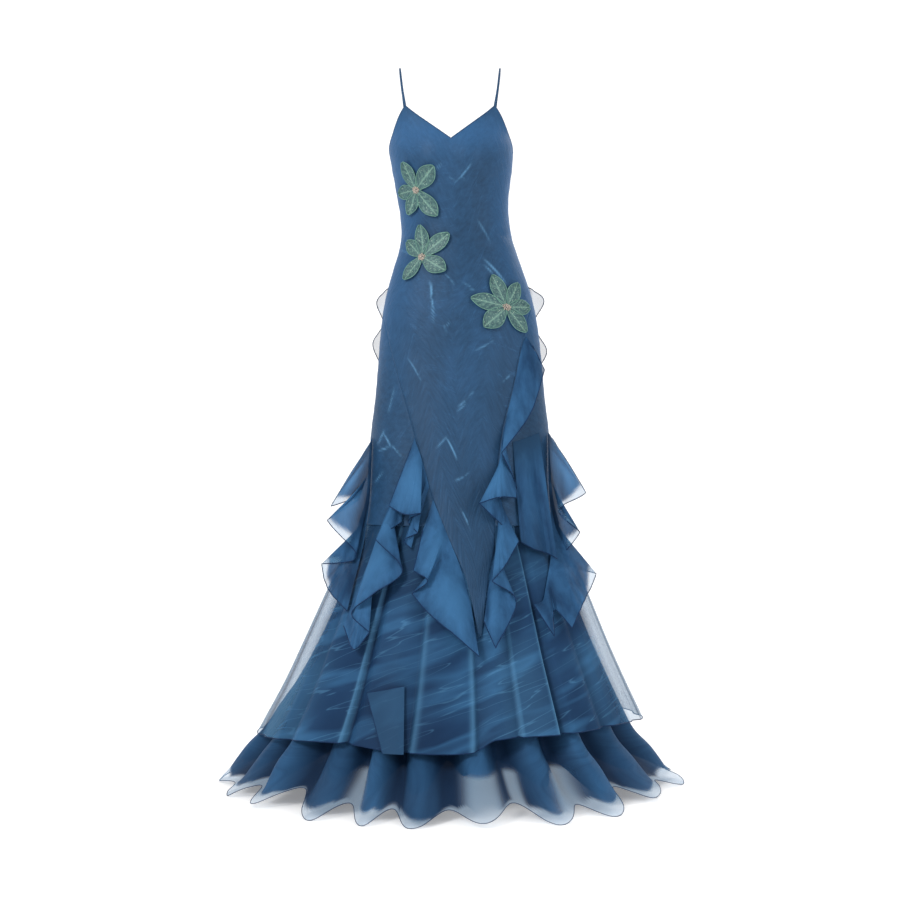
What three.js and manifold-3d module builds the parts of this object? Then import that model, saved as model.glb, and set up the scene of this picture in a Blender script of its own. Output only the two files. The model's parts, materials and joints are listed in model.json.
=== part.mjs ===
// A sleeveless full-length slip gown in its worn shape, hollow, with no wearer: a bias-cut
// sheath on two thin straps, cascading ruffles down its pointed seams, a sheer overskirt, a
// longer sheer underskirt whose hem spreads at the floor, its lining, and three flower appliques.
// Millimetres, +Z up, the front faces -Y. The origin is midway between the strap tops, where
// shoulders hold the gown, so everything else has a negative z.
import * as THREE from "three";
import { mergeVertices } from "three/addons/utils/BufferGeometryUtils.js";
import Module from "manifold-3d";

const wasm = await Module();
wasm.setup();

// Cloth and gaps
const SHEATH_CLOTH = 1.5;
const SHEER_CLOTH = 1.2;
const SEAM_GAP = 0.3;
const LAYER_GAP = 1;
const STRAP_WIDTH = 4.4;

// Heights
const FLOOR = -1491;
const BODICE_FOOT = -300;
const OVERSKIRT_TOP = -850;
const LINING_TOP = -862;
const UNDERSKIRT_TOP = -1100;
const LINING_HEM = -1428;

// How far the skirts lie inside the form
const OVERSKIRT_INSET = { top: 3.1, below: 5, settles: 60 };
const LINING_INSET = { top: 2.2, below: 9, settles: 120 };
const LINING_LEAVES = { from: -875, to: -1060 };

// Rows of a table as objects with named columns.
function table(columns, rows) {
  return rows.map((row) => Object.fromEntries(columns.map((name, i) => [name, row[i]])));
}

// The outside of the gown as a stack of half ellipses: the sheath, and the overskirt below it.
const FORM = table(
  ["z", "centre", "half", "front", "back"],
  [
    [-60, 0, 132, 80, 82],
    [-97, 0, 131, 84, 86],
    [-140, 1, 128, 94, 90],
    [-172, 2, 130, 103, 92],
    [-206, 4, 127, 106, 90],
    [-240, 5, 122, 101, 86],
    [-273, 6, 117, 94, 80],
    [-307, 9, 114, 88, 74],
    [-340, 12, 115, 86, 72],
    [-374, 15, 120, 88, 76],
    [-407, 16, 130, 92, 86],
    [-441, 17, 141, 96, 98],
    [-475, 18, 151, 100, 108],
    [-510, 19, 159, 103, 114],
    [-560, 20, 166, 107, 118],
    [-625, 21, 172, 112, 120],
    [-695, 21, 178, 119, 124],
    [-760, 21, 186, 128, 132],
    [-830, 20, 191, 138, 143],
    [-907, 20, 197, 151, 158],
    [-970, 18, 217, 173, 182],
    [-1033, 16, 247, 201, 212],
    [-1117, 14, 284, 237, 250],
    [-1200, 12, 320, 268, 285],
    [-1285, 11, 359, 303, 322],
    [-1361, 8, 397, 338, 358],
    [-1400, 4, 414, 354, 376],
  ],
);

// The underskirt between its flutes, from where it joins the lining out over the floor.
const UNDER_FORM = table(
  ["z", "centre", "half", "front", "back", "flute"],
  [
    [-875, 20, 185, 135, 140, 0],
    [-935, 19, 193, 148, 155, 0],
    [-985, 18, 206, 159, 168, 0],
    [-1042, 16, 223, 172, 184, 0],
    [-1100, 14, 243, 191, 205, 0],
    [-1117, 14, 249, 197, 211, 0.6],
    [-1200, 12, 283, 222, 240, 4],
    [-1285, 8, 321, 252, 274, 6],
    [-1330, 3, 345, 275, 299, 7],
    [-1382, 0, 371, 303, 326, 9],
    [-1415, 0, 392, 335, 356, 14],
    [-1441, 0, 412, 371, 386, 19],
    [-1466, 0, 433, 411, 419, 24],
    [-1485, 0, 455, 451, 453, 27],
    [-1500, 0, 466, 470, 470, 29],
  ],
);

// The cups stand out of the form on each side of the middle.
const BUST = { x: 58, z: -196, reach: 15, spreadX: 44, spreadZ: 52 };

// The top edge by angle from the front, the same on both sides: the V, a cup's point, the
// underarm, the back's strap point and the middle of the back.
const TOP_EDGE = table(
  ["angle", "z"],
  [
    [0, -167],
    [45, -97],
    [54, -107],
    [63, -122],
    [72, -142],
    [81, -162],
    [90, -178],
    [108, -190],
    [126, -178],
    [135, -162],
    [144, -166],
    [180, -172],
  ],
);

// Seams of the pointed front panel and of the back one, by angle from the front.
const FRONT_SEAM_LEFT = table(
  ["z", "angle"],
  [
    [-510, -89.2],
    [-528, -78],
    [-546, -69],
    [-614, -54],
    [-671, -44],
    [-737, -34],
    [-804, -26],
    [-875, -19],
    [-935, -11.5],
    [-984, -4.5],
    [-1042, 2.5],
    [-1098, 5.8],
    [-1165, 8.1],
  ],
);
const FRONT_SEAM_RIGHT = table(
  ["z", "angle"],
  [
    [-470, 89.2],
    [-500, 73],
    [-532, 60],
    [-600, 47],
    [-669, 38.5],
    [-741, 29.5],
    [-802, 25.2],
    [-863, 23],
    [-984, 18.7],
    [-1044, 14.2],
    [-1098, 11.6],
    [-1165, 9.1],
  ],
);
const BACK_SEAM = table(
  ["z", "angle"],
  [
    [-435, 90.8],
    [-470, 104],
    [-510, 116],
    [-600, 131],
    [-700, 142],
    [-800, 150],
    [-900, 158],
    [-1000, 167],
    [-1100, 175.5],
    [-1165, 179.4],
  ],
);

// Lower ends of the panels beside the pointed ones
const SIDE_PANEL_HEM = -955;

// Soft folds that run down the overskirt, each a trough pressed in by its depth at the hem.
const OVERSKIRT_FOLDS = table(
  ["angle", "width", "depth"],
  [
    [-76, 6, 9],
    [-56, 5, 12],
    [-33, 4, 20],
    [-15, 4, 11],
    [9, 5, 15],
    [20, 4, 11],
    [33, 4, 21],
    [51, 5, 11],
    [72, 6, 9],
    [98, 7, 9],
    [117, 6, 14],
    [138, 5, 20],
    [156, 5, 15],
    [176, 5, 18],
    [197, 6, 16],
    [216, 5, 20],
    [238, 6, 14],
    [261, 7, 9],
  ],
);

// The overskirt's hem dips and rises round the gown.
const OVERSKIRT_HEM = table(
  ["angle", "z"],
  [
    [-180, -1372],
    [-130, -1380],
    [-90, -1390],
    [-60, -1379],
    [-33, -1368],
    [-15, -1377],
    [6, -1376],
    [12, -1355],
    [33, -1352],
    [60, -1349],
    [90, -1361],
    [130, -1366],
    [180, -1372],
  ],
);

// Crests of the flutes in the underskirt's hem: how far each reaches, as a share, and how high
// off the floor the hem rises between it and the next.
const FLUTES = table(
  ["angle", "reach", "rise"],
  [
    [-86, 0.9, 20],
    [-66, 0.6, 30],
    [-46, 1.0, 42],
    [-21, 1.1, 40],
    [-8, 0.6, 20],
    [7, 1.1, 38],
    [24, 1.0, 36],
    [41, 0.9, 42],
    [61, 0.8, 26],
    [83, 0.9, 22],
    [102, 0.8, 34],
    [123, 1.1, 30],
    [143, 0.7, 40],
    [162, 1.1, 24],
    [181, 0.8, 36],
    [199, 1.0, 28],
    [219, 0.7, 38],
    [237, 1.1, 26],
    [255, 0.8, 34],
  ],
);

// Ruffles. Each row is one turn of the free edge: where it leaves the seam, where its edge
// lies, and how far that edge stands out of the form. Rows run down the seam.
const RUFFLE_COLUMNS = ["seamX", "seamZ", "edgeX", "edgeZ", "out"];
const RUFFLES = {
  ruffle_side_left: table(RUFFLE_COLUMNS, [
    [-161, -776, -170, -794, 9],
    [-162, -798, -246, -918, 76],
    [-163, -830, -186, -901, 24],
    [-164, -858, -253, -946, 78],
    [-166, -900, -189, -1018, 13],
    [-170, -944, -264, -1036, 46],
    [-176, -990, -248, -1084, 24],
    [-184, -1030, -206, -1124, 8],
  ]),
  ruffle_front_left: table(RUFFLE_COLUMNS, [
    [-96, -868, -96, -946, 7],
    [-108, -892, -150, -980, 36],
    [-122, -914, -94, -1040, 17],
    [-132, -936, -150, -1084, 40],
    [-141, -958, -194, -1124, 36],
    [-149, -980, -158, -1160, 20],
    [-156, -1002, -188, -1192, 28],
    [-163, -1022, -212, -1152, 13],
  ]),
  ruffle_point_left: table(RUFFLE_COLUMNS, [
    [-72, -776, -79, -798, 6],
    [-68, -790, -123, -915, 30],
    [-61, -808, -90, -930, 45],
    [-56, -824, -58, -928, 36],
    [-52, -838, -84, -944, 19],
    [-48, -852, -64, -968, 11],
    [-45, -864, -92, -982, 22],
    [-42, -876, -78, -998, 8],
  ]),
  ruffle_centre: table(RUFFLE_COLUMNS, [
    [-34, -902, -54, -962, 6],
    [-22, -931, -72, -1040, 22],
    [-10, -960, -44, -1058, 38],
    [4, -993, -75, -1084, 22],
    [18, -1027, -40, -1120, 32],
    [31, -1066, 6, -1156, 34],
    [42, -1110, 56, -1200, 18],
  ]),
  ruffle_point_right: table(RUFFLE_COLUMNS, [
    [157, -568, 170, -586, 9],
    [148, -590, 196, -636, 16],
    [131, -669, 164, -727, 24],
    [113, -742, 104, -808, 28],
    [106, -775, 132, -868, 9],
    [104, -790, 134, -898, 22],
    [102, -808, 98, -896, 44],
    [101, -828, 58, -908, 40],
    [99, -862, 98, -946, 16],
    [98, -900, 138, -984, 17],
    [97, -936, 108, -1030, 36],
    [95, -965, 82, -1058, 38],
    [90, -1004, 130, -1100, 17],
    [80, -1050, 88, -1184, 34],
    [72, -1096, 66, -1136, 12],
  ]),
  ruffle_front_right: table(RUFFLE_COLUMNS, [
    [128, -786, 142, -986, 5],
    [147, -780, 168, -1000, 13],
    [166, -773, 196, -1010, 21],
    [184, -766, 216, -1021, 25],
  ]),
  ruffle_side_right: table(RUFFLE_COLUMNS, [
    [204, -764, 213, -778, 9],
    [204, -792, 280, -890, 78],
    [204, -830, 224, -926, 22],
    [204, -864, 268, -971, 46],
    [206, -904, 230, -1026, 8],
    [208, -944, 302, -1057, 38],
    [207, -984, 270, -1104, 34],
    [203, -1024, 242, -1154, 28],
    [197, -1052, 204, -1114, 10],
    [191, -1078, 210, -1180, 22],
    [186, -1102, 188, -1130, 8],
  ]),
};
const BACK_RUFFLES = {
  ruffle_back_right: table(RUFFLE_COLUMNS, [
    [156, -440, 164, -456, 8],
    [153, -462, 200, -484, 40],
    [148, -496, 178, -536, 9],
    [140, -530, 206, -592, 30],
    [131, -574, 180, -648, 9],
    [124, -620, 192, -716, 24],
    [117, -672, 138, -760, 9],
    [111, -724, 180, -846, 42],
    [105, -780, 118, -878, 11],
    [98, -840, 160, -982, 44],
    [89, -900, 92, -988, 12],
    [79, -956, 128, -1094, 40],
    [66, -1010, 62, -1092, 12],
    [50, -1064, 86, -1190, 34],
    [32, -1116, 30, -1170, 8],
  ]),
  ruffle_back_left: table(RUFFLE_COLUMNS, [
    [-122, -442, -130, -458, 8],
    [-119, -464, -156, -488, 32],
    [-113, -498, -142, -534, 9],
    [-106, -536, -164, -578, 27],
    [-96, -580, -142, -640, 9],
    [-88, -626, -150, -706, 22],
    [-80, -678, -104, -768, 9],
    [-74, -730, -142, -838, 40],
    [-68, -784, -82, -888, 11],
    [-60, -842, -126, -974, 42],
    [-51, -900, -56, -998, 12],
    [-41, -956, -94, -1086, 38],
    [-30, -1008, -30, -1100, 12],
    [-16, -1062, -54, -1182, 32],
    [0, -1112, -6, -1166, 8],
  ]),
};

// Flowers: the middle of each, by angle and height, and its petals as a bearing from the right,
// counter-clockwise, a length and a width.
const PETAL_COLUMNS = ["bearing", "length", "width"];
const FLOWERS = {
  flower_ribs: {
    angle: -39,
    z: -268,
    petals: table(PETAL_COLUMNS, [
      [112, 62, 25],
      [44, 62, 30],
      [-55, 66, 29],
      [-118, 54, 25],
      [-176, 50, 24],
    ]),
  },
  flower_waist: {
    angle: -34,
    z: -405,
    petals: table(PETAL_COLUMNS, [
      [96, 66, 25],
      [43, 68, 27],
      [-30, 60, 28],
      [-126, 56, 25],
      [140, 54, 24],
    ]),
  },
  flower_hip: {
    angle: 37,
    z: -509,
    petals: table(PETAL_COLUMNS, [
      [107, 68, 28],
      [53, 64, 26],
      [2, 62, 26],
      [-51, 64, 29],
      [-141, 66, 31],
      [166, 70, 28],
    ]),
  },
};
const FLOWER_LIFT = 0.5;
const PETAL_CUP = 4;
const PETAL_CLOTH = 1.2;
const EYE_RADIUS = 7;

// Where a strap's centreline runs between its two ends, for the right one.
const STRAP_ROUTE = table(
  ["x", "y", "z"],
  [
    [98, -50, -58],
    [103, -27, -18],
    [105, 0, -2.2],
    [104, 26, -18],
    [97, 54, -78],
    [94, 63, -130],
  ],
);
const STRAP_ENDS = { front: 45, back: 135 };
const STRAP_SINKS = 0.7;

const rad = THREE.MathUtils.degToRad;
const deg = THREE.MathUtils.radToDeg;
const lerp = THREE.MathUtils.lerp;
const clamp = THREE.MathUtils.clamp;

// Smooth value of a column between the rows of a table, read along another of its columns.
function read(rows, along, at, column) {
  const rising = rows[0][along] < rows[rows.length - 1][along];
  const sorted = rising ? rows : [...rows].reverse();
  const x = clamp(at, sorted[0][along], sorted[sorted.length - 1][along]);
  let i = sorted.findIndex((row) => row[along] >= x);
  i = clamp(i - 1, 0, sorted.length - 2);
  const slope = (j) => {
    const a = sorted[Math.max(j - 1, 0)];
    const b = sorted[Math.min(j + 1, sorted.length - 1)];
    return (b[column] - a[column]) / (b[along] - a[along]);
  };
  const a = sorted[i];
  const b = sorted[i + 1];
  const span = b[along] - a[along];
  const t = (x - a[along]) / span;
  const t2 = t * t;
  const t3 = t2 * t;
  return (
    (2 * t3 - 3 * t2 + 1) * a[column] +
    (t3 - 2 * t2 + t) * span * slope(i) +
    (3 * t2 - 2 * t3) * b[column] +
    (t3 - t2) * span * slope(i + 1)
  );
}

// The same between rows, in straight lines, for edges that have corners.
function readStraight(rows, along, at, column) {
  const x = clamp(at, rows[0][along], rows[rows.length - 1][along]);
  const i = clamp(rows.findIndex((row) => row[along] >= x) - 1, 0, rows.length - 2);
  const t = (x - rows[i][along]) / (rows[i + 1][along] - rows[i][along]);
  return lerp(rows[i][column], rows[i + 1][column], t);
}

function bustReach(x, z) {
  const side = (centre) => ((x - centre) / BUST.spreadX) ** 2;
  const height = ((z - BUST.z) / BUST.spreadZ) ** 2;
  return BUST.reach * (Math.exp(-side(BUST.x) - height) + Math.exp(-side(-BUST.x) - height));
}

// A point by its angle from the front, its height and its distance out of a form.
function pointAt(form, angle, z, out) {
  const a = rad(angle);
  const front = Math.cos(a) > 0;
  const depth = read(form, "z", z, front ? "front" : "back");
  const x = read(form, "z", z, "centre") + (read(form, "z", z, "half") + out) * Math.sin(a);
  const cup = front && z > BODICE_FOOT ? bustReach(x, z) * Math.cos(a) ** 2 : 0;
  return new THREE.Vector3(x, -(depth + out + cup) * Math.cos(a), z);
}

// A point of the form by its x instead of its angle, on the front (side 1) or the back (-1).
function pointAcross(x, z, out, side) {
  const reach = read(FORM, "z", z, "half") + out;
  const s = clamp((x - read(FORM, "z", z, "centre")) / reach, -1, 1);
  const angle = deg(Math.asin(s));
  return pointAt(FORM, side > 0 ? angle : 180 - angle, z, out);
}

// A surface's point and unit normal at (u, v), from a function that gives its points.
const NUDGE = 1e-3;
function withNormal(surface, u, v, scale) {
  const du = NUDGE * scale.u;
  const dv = NUDGE * scale.v;
  const alongU = surface(u + du, v).sub(surface(u - du, v));
  const alongV = surface(u, v + dv).sub(surface(u, v - dv));
  return { point: surface(u, v), normal: alongU.cross(alongV).normalize() };
}

// A closed wall from a grid of points with normals: its outer face stands `outer` along the
// normals and its inner face `inner` against them.
function wall(grid, outer, inner) {
  const rows = grid.length;
  const columns = grid[0].length;
  const positions = [];
  for (const reach of [outer, -inner])
    for (const row of grid)
      for (const { point, normal } of row)
        positions.push(...point.clone().addScaledVector(normal, reach).toArray());
  const outside = (r, c) => r * columns + c;
  const inside = (r, c) => rows * columns + r * columns + c;
  const index = [];
  const quad = (a, b, c, d) => index.push(a, b, c, a, c, d);
  for (let r = 0; r < rows - 1; r++)
    for (let c = 0; c < columns - 1; c++) {
      quad(outside(r, c), outside(r + 1, c), outside(r + 1, c + 1), outside(r, c + 1));
      quad(inside(r, c), inside(r, c + 1), inside(r + 1, c + 1), inside(r + 1, c));
    }
  for (let c = 0; c < columns - 1; c++) {
    const last = rows - 1;
    quad(outside(0, c), outside(0, c + 1), inside(0, c + 1), inside(0, c));
    quad(outside(last, c), inside(last, c), inside(last, c + 1), outside(last, c + 1));
  }
  for (let r = 0; r < rows - 1; r++) {
    const last = columns - 1;
    quad(outside(r, 0), inside(r, 0), inside(r + 1, 0), outside(r + 1, 0));
    quad(outside(r, last), outside(r + 1, last), inside(r + 1, last), inside(r, last));
  }
  const geometry = new THREE.BufferGeometry();
  geometry.setAttribute("position", new THREE.Float32BufferAttribute(positions, 3));
  geometry.setIndex(index);
  return geometry;
}

// A panel over part of a surface. It runs down through heights(angle), one height a row, and
// across through angles(z).
function panel(surface, heightsAt, anglesAt, thickness) {
  const rowCount = heightsAt(0).length;
  const grid = [];
  for (let r = 0; r < rowCount; r++) {
    const guess = anglesAt(heightsAt(0)[r]);
    grid.push(
      guess.map((_, c) => {
        let angle = guess[c];
        let z = heightsAt(angle)[r];
        angle = anglesAt(z)[c];
        z = heightsAt(angle)[r];
        return withNormal(surface, angle, z, { u: 40, v: 100 });
      }),
    );
  }
  return wall(grid, 0, thickness);
}

// Sheath
const sheathSurface = (angle, z) => pointAt(FORM, angle, z, 0);
const sheathHalfWidth = (z) => read(FORM, "z", z, "half");
const gapAngle = (z) => deg(SEAM_GAP / 2 / (0.75 * sheathHalfWidth(z)));

function topEdge(angle) {
  const turned = Math.abs(((angle + 540) % 360) - 180);
  return readStraight(TOP_EDGE, "angle", turned, "z");
}

const BODICE_ROWS = 5;
// Rows of the sheath's lower part, which the skirt layers share where they hang close to it.
const FLARE_HEIGHTS = [-875, -905, -935, -985, -1042, -1098, -1165];
const FRONT_HEIGHTS = [
  -345, -395, -440, -470, -490, -510, -528, -546, -600, -670, -740, -805, ...FLARE_HEIGHTS,
];
const BACK_HEIGHTS = [-345, -395, -435, -455, -480, -510, -560, -630, -710, -790, ...FLARE_HEIGHTS];

// Heights of a panel that starts at the top edge: the first rows follow the edge's shape.
function heightsFromTop(angle, below) {
  const bodice = Array.from({ length: BODICE_ROWS }, (_, i) =>
    lerp(topEdge(angle), BODICE_FOOT, i / BODICE_ROWS),
  );
  return [...bodice, BODICE_FOOT, ...below];
}

function evenly(from, to, count) {
  return Array.from({ length: count }, (_, i) => lerp(from, to, i / (count - 1)));
}

const frontLeft = (z) => (z > -506 ? -90 : read(FRONT_SEAM_LEFT, "z", z, "angle"));
const frontRight = (z) => (z > -466 ? 90 : read(FRONT_SEAM_RIGHT, "z", z, "angle"));
const backSeam = (z) => (z > -431 ? 90 : read(BACK_SEAM, "z", z, "angle"));

// Where the columns of a whole panel run, as shares of its width: the cups' points are on two.
const WHOLE_SHARES = [0, 0.05, 0.1, 0.15, 0.2, 0.25, 0.31, 0.375, 0.44, 0.5];
const WHOLE_COLUMNS = [...WHOLE_SHARES, ...WHOLE_SHARES.map((share) => 1 - share).reverse().slice(1)];
const BACK_COLUMNS = [0, 0.08, 0.16, 0.25, 0.33, 0.42, 0.5, 0.58, 0.67, 0.75, 0.84, 0.92, 1];
const SIDE_COLUMNS = [0, 0.16, 0.33, 0.5, 0.67, 0.84, 1];

function sheathPanel(heightsAt, left, right, shares) {
  const anglesAt = (z) => shares.map((share) => lerp(left(z) + gapAngle(z), right(z) - gapAngle(z), share));
  return panel(sheathSurface, heightsAt, anglesAt, SHEATH_CLOTH);
}

function sidePanel(heights, top, left, right) {
  const rows = heights.filter((z) => z <= top && z > SIDE_PANEL_HEM);
  return sheathPanel(() => [...rows, SIDE_PANEL_HEM], left, right, SIDE_COLUMNS);
}

// Overskirt: the form less its inset, pressed in along its folds
function bump(distance) {
  return Math.abs(distance) < 1 ? (1 + Math.cos(Math.PI * distance)) / 2 : 0;
}

function turn(angle) {
  return ((angle % 360) + 540) % 360 - 180;
}

function foldDepth(angle, z) {
  const grown = clamp((OVERSKIRT_TOP - z) / (OVERSKIRT_TOP + 1370), 0, 1) ** 1.3;
  const pressed = OVERSKIRT_FOLDS.map((fold) => fold.depth * bump(turn(angle - fold.angle) / fold.width));
  return grown * pressed.reduce((sum, depth) => sum + depth, 0);
}

// An inset that grows from its value at the top of a piece to its value below.
function insetAt(inset, top, z) {
  return lerp(inset.top, inset.below, clamp((top - z) / inset.settles, 0, 1));
}

function overskirtSurface(angle, z) {
  return pointAt(FORM, angle, z, -insetAt(OVERSKIRT_INSET, OVERSKIRT_TOP, z) - foldDepth(angle, z));
}

function overskirtHeights(angle) {
  const last = FLARE_HEIGHTS[FLARE_HEIGHTS.length - 1];
  const hem = read(OVERSKIRT_HEM, "angle", turn(angle), "z");
  return [OVERSKIRT_TOP, ...FLARE_HEIGHTS, lerp(last, hem, 0.55), hem];
}

// Angles that catch each fold's sides and middle, with none further apart than a limit.
function anglesThrough(marks, from, to, widest) {
  const inner = marks.filter((angle) => angle > from + 1 && angle < to - 1).sort((a, b) => a - b);
  const found = [from];
  for (const mark of [...inner, to]) {
    const gap = mark - found[found.length - 1];
    const extra = Math.max(Math.ceil(gap / widest), 1);
    const start = found[found.length - 1];
    for (let i = 1; i <= extra; i++) found.push(lerp(start, mark, i / extra));
  }
  return found;
}

const OVERSKIRT_MARKS = OVERSKIRT_FOLDS.flatMap(({ angle, width }) =>
  [-1, 0, 1].map((share) => angle + share * width),
);

// Underskirt: at an angle, how far its flutes swell, as a share, and how high its hem rises.
function fluteAt(angle) {
  const first = FLUTES[0].angle;
  const at = ((((angle - first) % 360) + 360) % 360) + first;
  const next = FLUTES.findIndex((flute) => flute.angle > at);
  const b = next < 0 ? { ...FLUTES[0], angle: first + 360 } : FLUTES[next];
  const a = FLUTES[next < 0 ? FLUTES.length - 1 : next - 1];
  const t = (at - a.angle) / (b.angle - a.angle);
  const wave = Math.cos(2 * Math.PI * t);
  const swell = wave > 0 ? wave * (t < 0.5 ? a.reach : b.reach) : wave * 0.9;
  return { swell, rise: (a.rise * (1 - wave)) / 2 };
}

const underskirtSurface = (angle, z) =>
  pointAt(UNDER_FORM, angle, z, read(UNDER_FORM, "z", z, "flute") * fluteAt(angle).swell);

const UNDERSKIRT_STEPS = [0, 0.25, 0.5, 0.7, 0.84, 0.93, 1];
function underskirtHeights(angle) {
  const hem = FLOOR + fluteAt(angle).rise;
  return UNDERSKIRT_STEPS.map((step) => lerp(UNDERSKIRT_TOP, hem, step));
}

// The lining hangs close under the overskirt, then leaves it for the inside of the underskirt.
function liningSurface(angle, z) {
  const under = insetAt(OVERSKIRT_INSET, OVERSKIRT_TOP, z) + SHEER_CLOTH + LAYER_GAP;
  const inset = insetAt(LINING_INSET, UNDERSKIRT_TOP, z) + read(UNDER_FORM, "z", z, "flute");
  const left = clamp((LINING_LEAVES.from - z) / (LINING_LEAVES.from - LINING_LEAVES.to), 0, 1);
  const close = pointAt(FORM, angle, z, -under);
  return close.lerp(pointAt(UNDER_FORM, angle, z, -inset), left * left * (3 - 2 * left));
}

function liningHeights(angle) {
  const hem = LINING_HEM + 6 * Math.sin(rad(angle) * 5);
  return [LINING_TOP, ...FLARE_HEIGHTS, -1260, -1350, hem];
}

const FLUTE_MARKS = FLUTES.flatMap(({ angle }, i) => {
  const next = i + 1 < FLUTES.length ? FLUTES[i + 1].angle : FLUTES[0].angle + 360;
  return [0.1, 0.36, 0.64, 0.9].map((share) => lerp(angle, next, share));
});

// One half of a skirt layer, front or back, between the side seams.
const HALVES = { front: [-90, 90], back: [90, 270] };
const HALF_GAP = deg(SEAM_GAP / 2 / 230);
function skirtHalf(surface, heightsAt, marks, widest, half, thickness) {
  const [from, to] = HALVES[half];
  const angles = anglesThrough(marks, from + HALF_GAP, to - HALF_GAP, widest);
  return panel(surface, heightsAt, () => angles, thickness);
}

// Ruffles
const EDGE_STEPS = 3;
const REACH_STEPS = 3;
const SEAM_OUT = 1.2;

function splineThrough(rows, column, s) {
  const at = (i) => rows[clamp(i, 0, rows.length - 1)][column];
  const i = clamp(Math.floor(s), 0, rows.length - 2);
  const t = s - i;
  const [a, b, c, d] = [at(i - 1), at(i), at(i + 1), at(i + 2)];
  return (
    b +
    0.5 * t * (c - a + t * (2 * a - 5 * b + 4 * c - d + t * (3 * (b - c) + d - a)))
  );
}

function ruffleSurface(rows, side) {
  return (s, t) => {
    const along = (column) => splineThrough(rows, column, s);
    const x = lerp(along("seamX"), along("edgeX"), t);
    const z = lerp(along("seamZ"), along("edgeZ"), t);
    const lift = Math.sin((clamp(t, -0.1, 1.1) * Math.PI) / 2);
    const out = lerp(SEAM_OUT, Math.max(along("out"), SEAM_OUT + 1), lift);
    return pointAcross(x, z, out, side);
  };
}

function ruffle(rows, side) {
  const surface = ruffleSurface(rows, side);
  const steps = (rows.length - 1) * EDGE_STEPS;
  const grid = evenly(0, rows.length - 1, steps + 1).map((s) =>
    evenly(0, 1, REACH_STEPS).map((t) => withNormal(surface, s, t, { u: 3, v: 3 })),
  );
  return wall(grid, SHEER_CLOTH / 2, SHEER_CLOTH / 2);
}

// Flowers
function petalGeometry(flower, petal) {
  const bearing = rad(petal.bearing);
  const lengthwise = [Math.cos(bearing), Math.sin(bearing)];
  const crosswise = [-lengthwise[1], lengthwise[0]];
  const surface = (along, across) => {
    const width = (petal.width / 2) * Math.sin(Math.PI * clamp(0.08 + 0.84 * along, 0, 1) ** 0.8);
    const right = lengthwise[0] * along * petal.length + crosswise[0] * across * width;
    const up = lengthwise[1] * along * petal.length + crosswise[1] * across * width;
    const z = flower.z + up;
    const a = rad(flower.angle);
    const radius = Math.hypot(
      read(FORM, "z", z, "half") * Math.cos(a),
      read(FORM, "z", z, "front") * Math.sin(a),
    );
    const lift = FLOWER_LIFT + PETAL_CLOTH / 2 + PETAL_CUP * Math.abs(across) ** 2 * along;
    return pointAt(FORM, flower.angle + deg(right / radius), z, lift + 2 * along);
  };
  const grid = evenly(0.05, 1, 4).map((along) =>
    evenly(-1, 1, 3).map((across) => withNormal(surface, along, across, { u: 3, v: 3 })),
  );
  return wall(grid, PETAL_CLOTH / 2, PETAL_CLOTH / 2);
}

function eyeGeometry(flower) {
  const middle = pointAt(FORM, flower.angle, flower.z, 0);
  const ahead = withNormal(sheathSurface, flower.angle, flower.z, { u: 40, v: 100 }).normal;
  const dome = new THREE.SphereGeometry(EYE_RADIUS, 8, 4);
  dome.scale(1, 0.45, 1);
  dome.applyQuaternion(new THREE.Quaternion().setFromUnitVectors(new THREE.Vector3(0, 1, 0), ahead));
  const seat = middle.addScaledVector(ahead, EYE_RADIUS * 0.45 + FLOWER_LIFT);
  return dome.translate(...seat.toArray());
}

function solidOf(geometry) {
  const bare = geometry.clone();
  bare.deleteAttribute("normal");
  bare.deleteAttribute("uv");
  const merged = mergeVertices(bare, 1e-3);
  const solid = new wasm.Manifold(
    new wasm.Mesh({
      numProp: 3,
      vertProperties: new Float32Array(merged.attributes.position.array),
      triVerts: new Uint32Array(merged.index.array),
    }),
  );
  return solid;
}

function geometryOf(solid) {
  const mesh = solid.getMesh();
  const geometry = new THREE.BufferGeometry();
  geometry.setAttribute("position", new THREE.BufferAttribute(mesh.vertProperties, 3));
  geometry.setIndex(new THREE.BufferAttribute(mesh.triVerts, 1));
  return geometry;
}

function flowerGeometry(flower) {
  const petals = flower.petals.map((petal) => solidOf(petalGeometry(flower, petal)));
  return geometryOf(petals.reduce((whole, petal) => whole.add(petal), solidOf(eyeGeometry(flower))));
}

// Straps
const STRAP_STEPS = 12;
function strapGeometry(side) {
  const end = (angle) =>
    pointAt(FORM, side * angle, topEdge(angle) + STRAP_SINKS, -STRAP_SINKS);
  const route = [
    end(STRAP_ENDS.front),
    ...STRAP_ROUTE.map(({ x, y, z }) => new THREE.Vector3(side * x, y, z)),
    end(STRAP_ENDS.back),
  ];
  const section = new THREE.Shape(
    new THREE.EllipseCurve(0, 0, STRAP_WIDTH / 2, STRAP_WIDTH / 2, 0, 2 * Math.PI).getPoints(8).slice(0, 8),
  );
  return new THREE.ExtrudeGeometry(section, {
    steps: STRAP_STEPS,
    curveSegments: 8,
    bevelEnabled: false,
    extrudePath: new THREE.CatmullRomCurve3(route, false, "centripetal"),
  });
}

// Materials
const cloth = (color, opacity) =>
  new THREE.MeshStandardMaterial({
    color,
    roughness: 0.6,
    metalness: 0,
    opacity,
    transparent: opacity < 1,
    side: THREE.DoubleSide,
  });
const SATIN = cloth(0x33608f, 1);
const LINING = cloth(0x1f3f66, 1);
const CHIFFON = cloth(0x3a6ea5, 0.7);
const ORGANZA = cloth(0x5f8f86, 1);

const gown = new THREE.Group();
function add(name, geometry, material) {
  const mesh = new THREE.Mesh(geometry, material);
  mesh.name = name;
  gown.add(mesh);
}

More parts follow.
